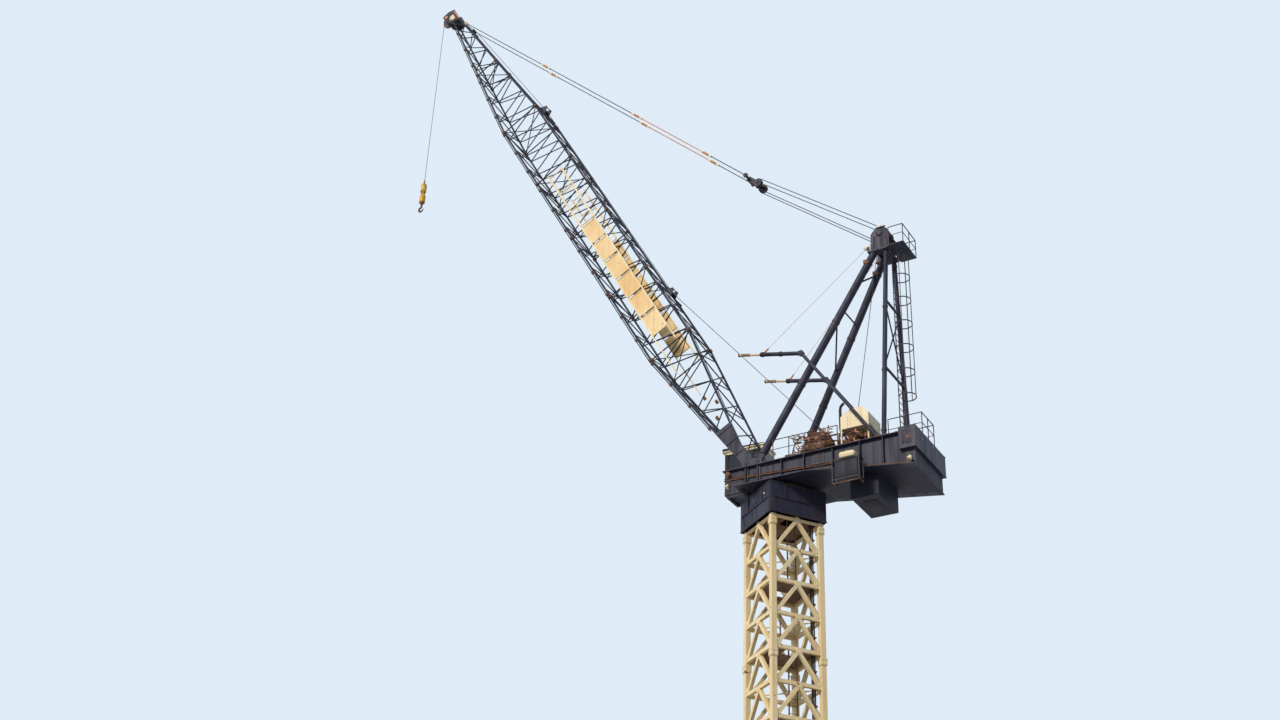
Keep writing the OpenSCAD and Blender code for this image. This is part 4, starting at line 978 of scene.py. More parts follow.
@dataclass
class Machinery:
    """The winches, the engine and the electrical cabinet, in the deck's axes."""

    space: Space
    floor: float = 1.2028
    drum: Point = (-1.05, 0.0, 1.5408)
    drum_r: float = 0.225
    drum_half: float = 0.40
    luff_drum: Point = (-1.64, -0.35, 1.4608)
    luff_r: float = 0.14
    hood_x: tuple[float, float] = (-2.225, -1.6)
    hood_y: tuple[float, float] = (-0.06, 0.56)
    hood_z: tuple[float, float] = (1.6808, 2.1208)

    def build(self) -> None:
        """Dress the machines and add their drums' rope, drives, pipes and covers."""
        dress(Finish.MACHINE, "winch_frame", "hoist_drum", "luffing_winch", "engine")
        dress(Finish.CABIN, "engine_canopy")
        self.rope_layers()
        self.drives()
        self.pipes()
        self.hood()
        self.cabinet()

    def rope_layers(self) -> None:
        """Add the turns of rope that lie on the two drums."""
        hoist, luff = Shaper(self.space), Shaper(self.space)
        hoist.lathe((self.drum[0], 0, self.drum[2]), (0, 1, 0),
                    self.rope_outline(self.drum_r, -self.drum_half + 0.01, 50), 40, True)
        hoist.piece("hoist_rope_turns", "hoist_drum", Finish.ROPE)
        luff.lathe(self.luff_drum, (0, 1, 0), self.rope_outline(self.luff_r, -0.14, 18), 32, True)
        luff.piece("luffing_rope_turns", "upper", Finish.ROPE)

    def rope_outline(self, radius: float, first: float, count: int) -> list[tuple[float, float]]:
        """Outline the turns of rope that lie side by side on a drum.

        Args:
            radius: The drum's radius.
            first: Where the first turn starts, along the drum.
            count: How many turns there are.

        Returns:
            Radius and place along the drum of each point of the outline.
        """
        pitch, crest, inside = 0.0155, 0.0078, radius - 0.01
        bumps = []
        for k in range(count):
            y = first + k * pitch
            bumps += [(radius + 0.0004, y), (radius + 0.012, y + crest)]
        return [(inside, bumps[0][1]), *bumps, (inside, bumps[-1][1] + 0.008)]

    def drives(self) -> None:
        """Add the gearboxes, motors, brakes and the radiator of the machine deck."""
        cases, motors = Shaper(self.space), Shaper(self.space)
        x, z = self.drum[0], self.drum[2]
        for s in (-1, 1):
            shaft = (s * 0.54, z - 0.1)
            cases.box((x - 0.16, s * 0.485, z - 0.2), (x + 0.16, s * 0.60, z + 0.12), 0.02)
            cases.lathe((x, s * 0.48, z), (0, s, 0),
                        [(0.0, 0.0), (0.14, 0.0), (0.14, 0.03), (0.10, 0.05), (0.10, 0.115),
                         (0.0, 0.115)], 28)
            motors.tube((x - 0.36, *shaft), (x - 0.16, *shaft), 0.085, 24)
            for k in range(6):
                fin = x - 0.35 + k * 0.03
                motors.tube((fin, *shaft), (fin + 0.012, *shaft), 0.096, 24)
            motors.tube((x + 0.16, *shaft), (x + 0.26, *shaft), 0.075, 24)
        motors.tube((-1.64, -0.56, 1.46), (-1.64, -0.44, 1.46), 0.11, 24)
        cases.box((-1.76, -0.60, self.floor), (-1.50, -0.57, 1.62), 0.01)
        cases.box((-2.20, -0.56, self.floor), (-1.86, -0.16, 1.56), 0.02)
        for k in range(8):
            cases.box((-2.212, -0.52 + k * 0.045, 1.26), (-2.20, -0.50 + k * 0.045, 1.52))
        for k in range(4):
            motors.ring((-2.03, -0.36, 1.585), (0, 0, 1), 0.03 + 0.03 * k, 0.038 + 0.03 * k, 0.005, 24)
        cases.box((-0.52, -0.50, self.floor), (-0.34, -0.20, 1.50), 0.015)
        cases.box((-0.50, 0.18, self.floor), (-0.30, 0.52, 1.42), 0.015)
        cases.piece("machine_cases", "upper", Finish.MACHINE)
        motors.piece("machine_motors", "upper", Finish.RUSTY)

    def pipes(self) -> None:
        """Add the pipes and tanks between the machines, with salmon pieces among the pipes as painted
        highlights.
        """
        pipes, tanks = Shaper(self.space), Shaper(self.space)
        runs = [
            [(-1.25, 0.54, 1.45), (-1.38, 0.54, 1.62), (-1.52, 0.46, 1.66), (-1.66, 0.42, 1.58)],
            [(-1.25, 0.50, 1.42), (-1.40, 0.48, 1.52), (-1.56, 0.42, 1.50), (-1.66, 0.36, 1.45)],
            [(-1.28, -0.54, 1.50), (-1.40, -0.54, 1.68), (-1.60, -0.50, 1.72), (-1.86, -0.44, 1.56)],
            [(-0.90, 0.56, 1.66), (-0.70, 0.56, 1.74), (-0.52, 0.50, 1.60), (-0.42, 0.42, 1.42)],
            [(-0.90, -0.56, 1.66), (-0.66, -0.56, 1.70), (-0.50, -0.44, 1.58), (-0.44, -0.36, 1.50)],
            [(-1.45, 0.30, 1.24), (-1.45, 0.30, 1.72), (-1.50, 0.10, 1.78), (-1.50, -0.12, 1.72)],
            [(-1.42, -0.20, 1.24), (-1.44, -0.20, 1.60), (-1.50, -0.26, 1.66), (-1.56, -0.30, 1.62)],
            [(-1.70, 0.58, 1.24), (-1.72, 0.59, 1.50), (-1.90, 0.59, 1.56), (-2.10, 0.59, 1.40)],
        ]
        for k, run in enumerate(runs):
            pipes.sweep(run, 0.013 + 0.004 * (k % 3))
        # Every sixth short pipe is salmon: painted highlights, bright pieces that stand in for glints of
        # light among the machinery.
        dice, painted_glints = random.Random(11), Shaper(self.space)
        spots = [(dice.uniform(-1.46, -0.62), dice.choice((-1, 1)) * dice.uniform(0.51, 0.63), 1.74)
                 for _ in range(190)]
        spots += [(dice.uniform(-2.12, -1.72), dice.uniform(0.43, 0.56), 1.56) for _ in range(36)]
        for k, (x, y, top) in enumerate(spots):
            z, dx, dz = dice.uniform(1.25, top), dice.uniform(0.06, 0.16), dice.uniform(0.05, 0.12)
            (pipes if k % 6 else painted_glints).sweep([(x, y, z), (x + dx, y, z + 0.01), (x + dx * 1.2, y, z + dz)],
                                               dice.uniform(0.007, 0.016), 6)
        painted_glints.piece("machine_painted_glint_pipes", "upper", Finish.SALMON)
        tanks.lathe((-1.42, -0.05, 1.62), (0, 1, 0),
                    [(0.0, 0.0), (0.055, 0.01), (0.065, 0.04), (0.065, 0.24), (0.055, 0.27), (0.0, 0.28)], 24)
        tanks.box((-1.46, 0.0, self.floor), (-1.42, 0.04, 1.60))
        tanks.box((-1.46, 0.16, self.floor), (-1.42, 0.20, 1.60))
        pipes.piece("machine_pipes", "upper", Finish.RUSTY)
        tanks.piece("machine_tanks", "upper", Finish.ORANGE)

    def hood(self) -> None:
        """Add seams, caps and the exhaust to the engine's hood."""
        trim, caps, smoke = Shaper(self.space), Shaper(self.space), Shaper(self.space)
        x0, x1 = self.hood_x
        for s, y in ((-1, self.hood_y[0]), (1, self.hood_y[1])):
            trim.box((x1 - 0.16, y, self.hood_z[0]), (x1 - 0.15, y + s * 0.004, 1.97))
        trim.box((x0 - 0.006, -0.05, 1.70), (x0, 0.55, 1.72))
        for x, r in ((-1.88, 0.045), (-2.02, 0.038)):
            caps.lathe((x, 0.30, self.hood_z[1]), (0, 0, 1),
                       [(0.0, -0.004), (r * 0.7, -0.004), (r * 0.7, 0.03), (r, 0.035), (r * 0.9, 0.06),
                        (0.0, 0.068)], 24)
        smoke.sweep([(-1.66, 0.44, 1.60), (-1.56, 0.44, 1.66), (-1.55, 0.44, 1.80), (-1.55, 0.44, 2.22),
                     (-1.57, 0.44, 2.30), (-1.64, 0.44, 2.36)], 0.03, 14)
        trim.piece("hood_seams", "upper", Finish.CABIN)
        caps.piece("hood_caps", "upper", Finish.CABIN)
        smoke.piece("engine_exhaust", "upper", Finish.SOOT)

    def cabinet(self) -> None:
        """Make the electrical cabinet: box, angle frame, doors, rounded hood, brackets and feed pipe."""
        body, hood = Shaper(self.space), Shaper(self.space)
        frames, doors, sill = Shaper(self.space), Shaper(self.space), Shaper(self.space)
        low, high = self.space.box("electrical_cabinet")
        x0, x1, y0, y1 = low.x + 0.03, high.x - 0.03, 0.825, high.y - 0.03
        body.box((x0 + 0.05, y0, 0.34), (x1 - 0.05, y1 - 0.03, 0.76), 0.012)
        for x in (-2.05, -1.72):
            body.box((x - 0.02, self.hood_y[1] + 0.17, 0.79), (x + 0.02, y0 + 0.03, 0.85))
        half, tall = 0.010, 0.018
        for x in (x0, x1):
            for y in (y0, y1):
                frames.box((x - half, y - half, low.z), (x + half, y + half, 0.765))
        for z, bars in ((low.z, sill), (0.30, frames), (0.745, frames)):
            bars.box((x0 - half, y1 - 0.004, z), (x1 + half, y1 + half, z + tall))
            for x in (x0, x1):
                bars.box((x - half, y0, z), (x + half, y1, z + tall))
        for k in range(2):
            a = x0 + 0.045 + k * 0.252
            doors.box((a, y1 - 0.030, 0.36), (a + 0.240, y1 - 0.018, 0.72), 0.002)
            doors.tube((a + 0.21, y1 - 0.020, 0.60), (a + 0.21, y1 - 0.006, 0.60), 0.012, 10)
        hood.box((-2.10, low.y + 0.02, 0.76), (-1.74, high.y, high.z - 0.004), 0.062)
        hood.lathe((-1.89, 0.93, high.z - 0.02), (0, 0, 1),
                   [(0.0, 0.0), (0.045, 0.0), (0.04, 0.03), (0.03, 0.055), (0.0, 0.055)], 20)
        sill.sweep([(-1.89, 0.93, high.z + 0.01), (-1.89, 0.92, 0.97), (-1.86, 0.85, 1.0),
                    (-1.80, 0.75, 0.99)], 0.018)
        body.piece("cabinet_box", "upper", Finish.FLOOR, ["electrical_cabinet"])
        hood.piece("cabinet_hood", "upper", Finish.CABIN)
        frames.piece("cabinet_angle_frame", "upper", Finish.JIB)
        sill.piece("cabinet_sill", "upper", Finish.RUSTY)
        doors.piece("cabinet_doors", "upper", Finish.DARK)


@dataclass
class Cab:
    """The operator's cab and its bracket, in the deck's axes."""

    space: Space
    x: tuple[float, float] = (0.875, 1.825)
    y: tuple[float, float] = (-1.40, -0.83)
    z: tuple[float, float] = (1.525, 2.59)

    def build(self) -> None:
        """Dress the cab and add its dark panels, window frames, roof, wiper, console and step."""
        dress(Finish.CABIN, "cab_body")
        dress(Finish.GLASS, "cab_glass")
        dress(Finish.NAVY, "cab_bracket")
        self.panels()
        self.window_frames()
        self.roof()
        self.fittings()

    def panels(self) -> None:
        """Add the dark lower panels, front posts and underside, which leave a pale frame above."""
        dark = Shaper(self.space)
        (x0, x1), (y0, y1), z0 = self.x, self.y, self.z[0]
        proud, inset, top = 0.007, 0.004, z0 + 0.305
        for y, s in ((y0, -1), (y1, 1)):
            dark.box((x0 + inset, y, z0), (x1 - inset, y + s * proud, top))
            dark.box((x1 - 0.066, y, top), (x1 - inset, y + s * proud, self.z[1] - 0.06))
        dark.box((x0, y0, z0 - 0.006), (x1, y1, z0))
        dark.box((x0 - proud, y0 + inset, z0), (x0, y1 - inset, top))
        dark.box((x1, y0 + inset, z0), (x1 + proud, y1 - inset, z0 + 0.095))
        dark.piece("cab_dark_panels", "upper", Finish.NAVY)

    def window_frames(self) -> None:
        """Add the rubber-dark frames round each window."""
        rims = Shaper(self.space)
        z0, z1 = self.z[0] + 0.33, self.z[1] - 0.09
        t, wide, proud = 0.022, 0.36, 0.008
        for y, s in ((self.y[0], -1), (self.y[1], 1)):
            face = y + s * proud
            for x in (self.x[0] + 0.09, self.x[0] + 0.50):
                rims.box((x - t, y, z0 - t), (x + wide + t, face, z0))
                rims.box((x - t, y, z1), (x + wide + t, face, z1 + t))
                rims.box((x - t, y, z0), (x, face, z1))
                rims.box((x + wide, y, z0), (x + wide + t, face, z1))
        front, sill = self.x[1], self.z[0] + 0.12
        for a, b in ((sill - t, sill), (z1, z1 + t), (z0 - 0.03, z0)):
            rims.box((front, self.y[0] + 0.05, a), (front + proud, self.y[1] - 0.05, b))
        for y in (self.y[0] + 0.05, self.y[1] - 0.07):
            rims.box((front, y, self.z[0] + 0.10), (front + proud, y + t, z1 + t))
        rims.piece("cab_window_frames", "upper", Finish.SOOT)

    def roof(self) -> None:
        """Add the dark sloping roof and the ventilator."""
        roof, top = Shaper(self.space), self.z[1] + 0.03
        x0, x1, y = self.x[0] - 0.02, self.x[1] + 0.055, self.y[0] - 0.02
        roof.slab([(x0, y, top), (x1, y, top), (x1, y, top + 0.07), (x0, y, top + 0.02)],
                  (0.0, self.y[1] - self.y[0] + 0.04, 0.0))
        roof.box((1.10, -1.22, top + 0.02), (1.38, -1.0, top + 0.11), 0.015)
        roof.piece("cab_roof", "upper", Finish.DARK)

    def fittings(self) -> None:
        """Add the grab rails, the wiper, the console, and the step outside the door with its rails."""
        rails, step, floor = Shaper(self.space), Shaper(self.space), 1.53
        x0, x1 = self.x
        for y, out in ((self.y[0] - 0.02, -0.02), (self.y[1] + 0.02, 0.02)):
            rails.sweep([(x0 + 0.03, y, 1.75), (x0 + 0.03, y + out, 1.78), (x0 + 0.03, y + out, 2.35),
                         (x0 + 0.03, y, 2.38)], 0.009)
        rails.sweep([(x1 + 0.012, -1.2, 2.48), (x1 + 0.02, -1.16, 2.2), (x1 + 0.014, -1.05, 1.95)], 0.006)
        rails.box((x1 - 0.25, -1.3, 1.56), (x1 - 0.08, -0.93, 1.86), 0.02)
        for a, b in (((0.60, -1.36), (0.60, -0.88)), ((0.60, -1.36), (0.86, -1.36))):
            for lift in (0.28, 0.52):
                rails.tube((*a, floor + lift), (*b, floor + lift), 0.01, 8)
            for spot in (a, b):
                rails.tube((*spot, floor), (*spot, 2.06), 0.01, 8)
        step.box((0.585, -1.38, 1.525), (0.87, -0.86, 1.54))
        rails.piece("cab_rails_and_wiper", "upper", Finish.SOOT)
        step.piece("cab_step", "upper", Finish.FLOOR)


@dataclass
class AFrame:
    """The A-frame, its head, ladder and stays, in the deck's axes."""

    space: Space
    front_foot: Point = (0.195, GIRDER_Y, 1.2958)
    front_top: Point = (-2.37, 0.23, 6.0258)
    rear_foot: Point = (-2.60, 0.6975, 1.2308)
    rear_top: Point = (-2.65, 0.23, 6.0258)
    head: Point = (-2.50, 0.0, 6.5458)
    ladder_x: float = -2.73
    ladder_low: float = 1.3048

    def build(self) -> None:
        """Dress the A-frame and add bands, bars, boxes, guards, lamps, cage straps and stays."""
        dress(Finish.NAVY, "left_front_leg", "right_front_leg", "rear_legs", "a_frame_head", "head_platform",
              "caged_ladder")
        dress(Finish.SHEAVE, "a_frame_sheaves")
        self.leg_bands()
        self.leg_bracing()
        self.head_fittings()
        self.ladder_cage()
        self.stays()

    def on_leg(self, foot: Point, top: Point, side: int, share: float) -> Point:
        """Return a point part of the way up a leg of one side."""
        x, y, z = Vector(foot).lerp(Vector(top), share)
        return x, side * y, z

    def leg_bands(self) -> None:
        """Add the welded bands and end flanges of the legs."""
        bands = Shaper(self.space)
        for foot, top, r, spots in ((self.front_foot, self.front_top, 0.082, (0.05, 0.36, 0.66, 0.95)),
                                    (self.rear_foot, self.rear_top, 0.05, (0.03, 0.34, 0.68, 0.97))):
            outline = [(r - 0.004, -0.03), (r + 0.006, -0.03), (r + 0.010, -0.015), (r + 0.010, 0.015),
                       (r + 0.006, 0.03), (r - 0.004, 0.03)]
            for s in (-1, 1):
                low, high = (Vector(self.on_leg(foot, top, s, end)) for end in (0, 1))
                for f in spots:
                    bands.lathe(self.on_leg(foot, top, s, f), high - low, outline, 28, True)
        bands.piece("leg_bands", "upper", Finish.NAVY)

    def leg_bracing(self) -> None:
        """Add the thin bars between the front legs and the rear ones, and the rusty boxes at their tops."""
        tubes, boxes = Shaper(self.space), Shaper(self.space)
        for s, near, far, r in ((-1, 0.49, 0.67, 0.018), (1, 0.72, 0.72, 0.018), (1, 0.85, 0.95, 0.020)):
            tubes.tube(self.on_leg(self.front_foot, self.front_top, s, near),
                       self.on_leg(self.front_foot, self.front_top, -s, far), r, 12)
        for s in (-1, 1):
            tubes.tube(self.on_leg(self.rear_foot, self.rear_top, s, 0.36),
                       self.on_leg(self.rear_foot, self.rear_top, -s, 0.70), 0.016, 12)
            x, y, z = self.on_leg(self.front_foot, self.front_top, s, 0.955)
            boxes.box((x - 0.03, y - 0.095, z - 0.06), (x + 0.10, y + 0.095, z + 0.04), 0.012)
        tubes.piece("leg_bracing_tubes", "upper", Finish.NAVY)
        boxes.piece("leg_top_boxes", "upper", Finish.MACHINE)

    def head_fittings(self) -> None:
        """Add the head's sheave guards, axle caps, ribs and lamps."""
        guards, ribs, lamps = Shaper(self.space), Shaper(self.space), Shaper(self.space)
        x, _, z = self.head
        for y in (-0.155, -0.11, -0.065, 0.065, 0.11, 0.155):
            guards.arc((x, y, z), 0.19, 20, 200, 0.009)
        for a in (30, 75, 120, 165):
            t = math.radians(a)
            guards.tube((x + 0.195 * math.cos(t), -0.17, z + 0.195 * math.sin(t)),
                        (x + 0.195 * math.cos(t), 0.17, z + 0.195 * math.sin(t)), 0.010, 8)
        for s in (-1, 1):
            ribs.lathe((x, s * 0.205, z), (0, s, 0), [(0.0, 0.0), (0.075, 0.0), (0.075, 0.018), (0.05, 0.03),
                                                      (0.0, 0.034)], 28)
            ribs.plate([(x + 0.14, 6.07), (x + 0.19, 6.07), (x + 0.16, 6.42), (x + 0.11, 6.48)],
                       s * 0.215, 0.03)
            ribs.plate([(x - 0.20, 6.07), (x - 0.14, 6.07), (x - 0.12, 6.44), (x - 0.18, 6.40)],
                       s * 0.215, 0.03)
            ribs.box((x - 0.16, s * 0.205, 6.68), (x + 0.06, s * 0.225, 6.70))
            lamps.lathe((x + 0.28, s * 0.30, 6.16), (0.7, 0.0, -0.7),
                        [(0.0, -0.05), (0.03, -0.05), (0.045, 0.0), (0.05, 0.03), (0.0, 0.03)], 20)
            ribs.box((x + 0.20, s * 0.30 - 0.015, 6.06), (x + 0.24, s * 0.30 + 0.015, 6.18))
        lamps.box((x - 0.05, -0.20, 6.714), (x + 0.05, 0.20, 6.76), 0.006)
        guards.piece("head_sheave_guards", "upper", Finish.NAVY)
        ribs.piece("head_ribs_and_caps", "upper", Finish.NAVY)
        lamps.piece("head_lamps", "upper", Finish.CABIN)

    def ladder_cage(self) -> None:
        """Add the straps that run down the ladder's hoops."""
        straps = Shaper(self.space)
        low, high = self.ladder_low + 1.1, 6.0
        for a in (100, 140, 180, 220, 260):
            t = math.radians(a)
            x, y = self.ladder_x - 0.15 + 0.186 * math.cos(t), 0.186 * math.sin(t)
            straps.box((x - 0.005, y - 0.012, low), (x + 0.005, y + 0.012, high))
        straps.piece("ladder_cage_straps", "upper", Finish.NAVY)

    def stays(self) -> None:
        """Add the thin stays from the head to the two buffer beams."""
        stays, ends = Shaper(self.space), Shaper(self.space)
        for s in (-1, 1):
            top, foot = (self.head[0] + 0.16, s * 0.245, 6.30), (0.10, s * 0.64, 3.955)
            stays.tube(top, foot, 0.005, 8)
            ends.lathe(foot, Vector(top) - Vector(foot),
                       [(0.0, 0.0), (0.02, 0.0), (0.02, 0.10), (0.008, 0.14), (0.0, 0.14)], 14)
        stays.piece("buffer_stays", "upper", Finish.ROD)
        ends.piece("buffer_stay_ends", "upper", Finish.SALMON)


@dataclass
class Backstops:
    """The two sprung buffers that stop the jib from going over backwards, in the deck's axes."""

    space: Space
    elbow: Point = (-0.78, 0.64, 3.70)
    tip: Point = (0.68, 0.64, 4.045)

    def build(self) -> None:
        """Dress the buffers and add collars, tip pads and joint bolts."""
        dress(Finish.NAVY, "buffer_frame")
        dress(Finish.ROD, "left_buffer_rod", "right_buffer_rod")
        collars = Shaper(self.space)
        for s, body in ((1, "left_buffer"), (-1, "right_buffer")):
            a, b = (Vector((x, s * y, z)) for x, y, z in (self.elbow, self.tip))
            way = (b - a).normalized()
            for at in (0.04, 0.50, 0.95):
                collars.ring(a + way * at, way, 0.040, 0.056, 0.025, 24)
            collars.tube((a[0], a[1] - 0.058, a[2]), (a[0], a[1] + 0.058, a[2]), 0.03, 6)
            pad = Shaper(self.space)
            pad.lathe(b + way * 0.012, way,
                      [(0.0, 0.0), (0.040, 0.0), (0.043, 0.012), (0.040, 0.03), (0.0, 0.03)], 24)
            for k in range(7):
                pad.ring(b - way * (0.05 + 0.03 * k), way, 0.0262, 0.034, 0.005)
            pad.piece(f"{body}_pad", body, Finish.SOOT)
        collars.piece("buffer_collars", "upper", Finish.NAVY)


@dataclass
class Jib:
    """The lattice jib with its head, panels, pendants and falls' block, in the jib's axes."""

    space: Space
    foot: float = 1.15
    foot_end: float = 4.15
    mid_end: float = 13.8
    cut: float = 19.58
    length: float = 20.0
    half_d: float = 0.55
    half_w: float = 0.525
    drop: float = 0.2
    anchor: float = 19.13
    anchor_z: float = 0.2
    tilt: float = 16.3
    pendant: float = 12.54

    def taper(self, s: float, root: float, middle: float, head: float) -> float:
        """Find half the distance between two chords.

        Args:
            s: The place along the jib, from its pins.
            root: Half the distance where the chords leave the foot.
            middle: Half the distance along the straight middle.
            head: Half the distance where the chords reach the head.

        Returns:
            Half the distance at that place.
        """
        if s < self.foot_end:
            return root + (middle - root) * (s - self.foot) / (self.foot_end - self.foot)
        if s < self.mid_end:
            return middle
        return middle + (head - middle) * (s - self.mid_end) / (self.cut - self.mid_end)

    def depth(self, s: float) -> float:
        """Return half the distance between back and belly chords at a place along the jib."""
        return self.taper(s, 0.19, self.half_d, 0.10)

    def width(self, s: float) -> float:
        """Return half the distance between left and right chords at a place along the jib."""
        return self.taper(s, GIRDER_Y, self.half_w, 0.17)

    def build(self) -> None:
        """Dress the jib and add joints, frames, pipes, lamps and the head's fittings."""
        dress(Finish.JIB, "jib_left_side", "jib_right_side", "jib_back_lacing", "jib_belly_lacing",
              "rope_guides")
        dress(Finish.NAVY, "jib_foot", "jib_head", "falls_block")
        dress(Finish.SHEAVE, "jib_sheaves")
        dress(Finish.ROPE, "pendants", "jib_hoist_rope", "luffing_rope")
        self.section_joints()
        self.belly_pipe()
        self.roller_cheeks()
        self.panels()
        self.foot_fittings()
        self.head_fittings()
        self.pendant_links()
        self.block_fittings()

    def section_joints(self) -> None:
        """Add the chord flanges and the cross frames where jib sections meet."""
        flanges, frames = Shaper(self.space), Shaper(self.space)
        for s in (self.foot_end, 6.55, 8.95, 11.35, self.mid_end, 16.7):
            w, d = self.width(s), self.depth(s)
            for y in (-1, 1):
                for z in (-1, 1):
                    for at in (s - 0.022, s + 0.022):
                        flanges.tube((at - 0.016, y * w, z * d), (at + 0.016, y * w, z * d), 0.044, 14)
                frames.tube((s, y * w, -d), (s, y * w, d), 0.016, 8)
                frames.tube((s, -y * w, -d), (s, y * w, d), 0.012, 8)
            for z in (-1, 1):
                frames.tube((s, -w, z * d), (s, w, z * d), 0.016, 8)
        flanges.piece("jib_section_flanges", "jib", Finish.RUSTY)
        frames.piece("jib_cross_frames", "jib", Finish.JIB)

    def belly_pipe(self) -> None:
        """Add the pipes that run beside the left belly and back chords, and their clips."""
        pipe, clips = Shaper(self.space), Shaper(self.space)
        spots = [1.3, 2.7, 4.15, 7.0, 10.0, 13.8, 17.0, 19.4]
        pipe.sweep([(s, self.width(s) + 0.002, -self.depth(s) - 0.052) for s in spots], 0.013, 10)
        pipe.sweep([(s, self.width(s) + 0.002, self.depth(s) + 0.044) for s in spots], 0.010, 10)
        for k in range(21):
            s = 1.4 + k * 0.88
            w, d = self.width(s), self.depth(s)
            clips.box((s - 0.035, w - 0.022, -d - 0.074), (s + 0.035, w + 0.024, -d - 0.020), 0.004)
        pipe.piece("jib_belly_pipe", "jib", Finish.JIB)
        clips.piece("jib_belly_clips", "jib", Finish.RUSTY)

    def roller_cheeks(self) -> None:
        """Add the triangular cheeks beside two of the rope's rollers, with a keeper bar over the rope."""
        cheeks = Shaper(self.space)
        for s in (5.85, 14.0):
            d = self.depth(s)
            for y in (-0.10, 0.10):
                cheeks.plate([(s - 0.15, d + 0.03), (s + 0.15, d + 0.03), (s + 0.03, d + 0.21),
                              (s - 0.03, d + 0.21)], y, 0.012)
            cheeks.tube((s, -0.106, d + 0.19), (s, 0.106, d + 0.19), 0.012, 10)
        cheeks.piece("rope_roller_cheeks", "jib", Finish.NAVY)

    def panels(self) -> None:
        """Make the plain panels, their rims, of which the last three stay open, and their rails."""
        sheets, rims = Shaper(self.space), Shaper(self.space)
        first, last, count = 4.63, 11.20, 9
        step, tall, edge = (last - first) / count, 0.20, 0.02
        for y in (-1, 1):
            inner = y * (self.half_w + 0.0135)
            face, rim = inner + y * 0.008, inner + y * 0.020
            for k in range(count):
                a, b = first + k * step + 0.03, first + (k + 1) * step - 0.03
                if k < count - 3:
                    sheets.box((a, inner, -tall), (b, face, tall))
                for z in (-tall, tall - edge):
                    rims.box((a, inner, z), (b, rim, z + edge))
                for s in (a, b - edge):
                    rims.box((s, inner, -tall), (s + edge, rim, tall))
            for start, z in ((3.34, -0.214), (4.2, 0.214)):
                rims.box((start, inner, z - 0.014), (11.25, rim, z + 0.014))
        sheets.piece("jib_plain_panels", "jib", Finish.PANEL, ["jib_panels"])
        rims.piece("jib_panel_rims", "jib", Finish.CREAM)

    def foot_fittings(self) -> None:
        """Add the foot's ribs, the rings round its pins and the rusty plates on the chords."""
        ribs, lamps, pins = Shaper(self.space), Shaper(self.space), Shaper(self.space)
        for side in (-1, 1):
            y = side * GIRDER_Y
            for s in (0.35, 0.7, 1.05):
                half = 0.075 + (0.216 - 0.075) * s / self.foot
                ribs.box((s - 0.008, y - 0.040, -half + 0.01), (s + 0.008, y + 0.040, half - 0.01))
            pins.lathe((0.0, y, 0.0), (0, side, 0), [(0.037, -0.0265), (0.060, -0.0265), (0.060, -0.0248),
                                                     (0.037, -0.0248)], 24, True)
        for s, y in ((1.5, 0.45), (2.2, 0.40), (2.9, -0.40)):
            w = self.width(s)
            middle = math.copysign(w - 0.02, y)
            lamps.box((s - 0.05, middle - 0.02, -0.03), (s + 0.05, middle + 0.02, 0.04), 0.006)
        for y in (-0.12, 0.12):
            ribs.tube((1.1, y, -0.012), (1.1, y, 0.012), 0.012, 8)
        ribs.piece("jib_foot_ribs", "jib", Finish.NAVY)
        lamps.piece("jib_lamp_plates", "jib", Finish.RUSTY)
        pins.piece("jib_pin_rings", "jib", Finish.SALMON)

    def head_fittings(self) -> None:
        """Add the rope on the head sheave, its guard, a lamp and salmon pins."""
        rope, guard, lamp, pins = (Shaper(self.space) for _ in range(4))
        rope.arc((self.length, 0.0, -self.drop), 0.2128, 78, -75, ROPE_R, 28)
        for y in (0.032, -0.032):
            guard.arc((self.length, y, -self.drop), 0.216, 100, -50, 0.008, 18)
        for side in (-1, 1):
            y = side * 0.185
            pins.lathe((self.length, y, -self.drop), (0, side, 0),
                       [(0.0, 0.0), (0.055, 0.0), (0.05, 0.02), (0.0, 0.024)], 24)
            guard.box((19.66, y - 0.006, -0.03), (20.02, y + 0.006, 0.03))
        lamp.lathe((19.75, 0.205, -0.12), (0.2, 0.3, -1.0),
                   [(0.0, -0.05), (0.035, -0.05), (0.05, 0.0), (0.055, 0.035), (0.0, 0.035)], 20)
        lamp.box((19.64, 0.186, -0.10), (19.84, 0.25, 0.03), 0.01)
        pins.box((19.60, 0.184, 0.085), (20.0, 0.193, 0.12))
        rope.piece("head_sheave_rope", "jib", Finish.ROPE)
        guard.piece("jib_head_guards", "jib", Finish.NAVY)
        lamp.piece("jib_head_lamp", "jib", Finish.CABIN)
        pins.piece("jib_head_pins", "jib", Finish.SALMON)

    def on_pendant(self, s: float, y: float) -> Point:
        """Return the point of the pendant at y at a place along the jib."""
        return s, y, self.anchor_z + (self.anchor - s) * math.tan(math.radians(self.tilt))

    def pendant_links(self) -> None:
        """Add the pendants' connectors, sockets, salmon middle stretch and anchor pins."""
        links, sleeves, pale = Shaper(self.space), Shaper(self.space), Shaper(self.space)
        x, z = self.anchor, self.anchor_z
        for y in (-0.2, 0.2):
            for s in (8.53, 11.23, 15.2):
                links.tube(self.on_pendant(s - 0.10, y), self.on_pendant(s + 0.10, y), 0.030, 14)
                pale.tube(self.on_pendant(s + 0.10, y), self.on_pendant(s + 0.20, y), 0.024, 14)
                pale.tube(self.on_pendant(s - 0.20, y), self.on_pendant(s - 0.10, y), 0.024, 14)
            sleeves.tube(self.on_pendant(8.73, y), self.on_pendant(11.03, y), 0.0135, 10)
            links.tube((x, y - 0.03, z), (x, y + 0.03, z), 0.024, 14)
            pale.box((x - 0.06, y - 0.018, z - 0.04), (x + 0.06, y + 0.018, z + 0.04), 0.006)
        links.piece("pendant_connectors", "jib", Finish.ORANGE)
        pale.piece("pendant_sockets", "jib", Finish.CABIN)
        sleeves.piece("pendant_sleeves", "jib", Finish.SALMON)

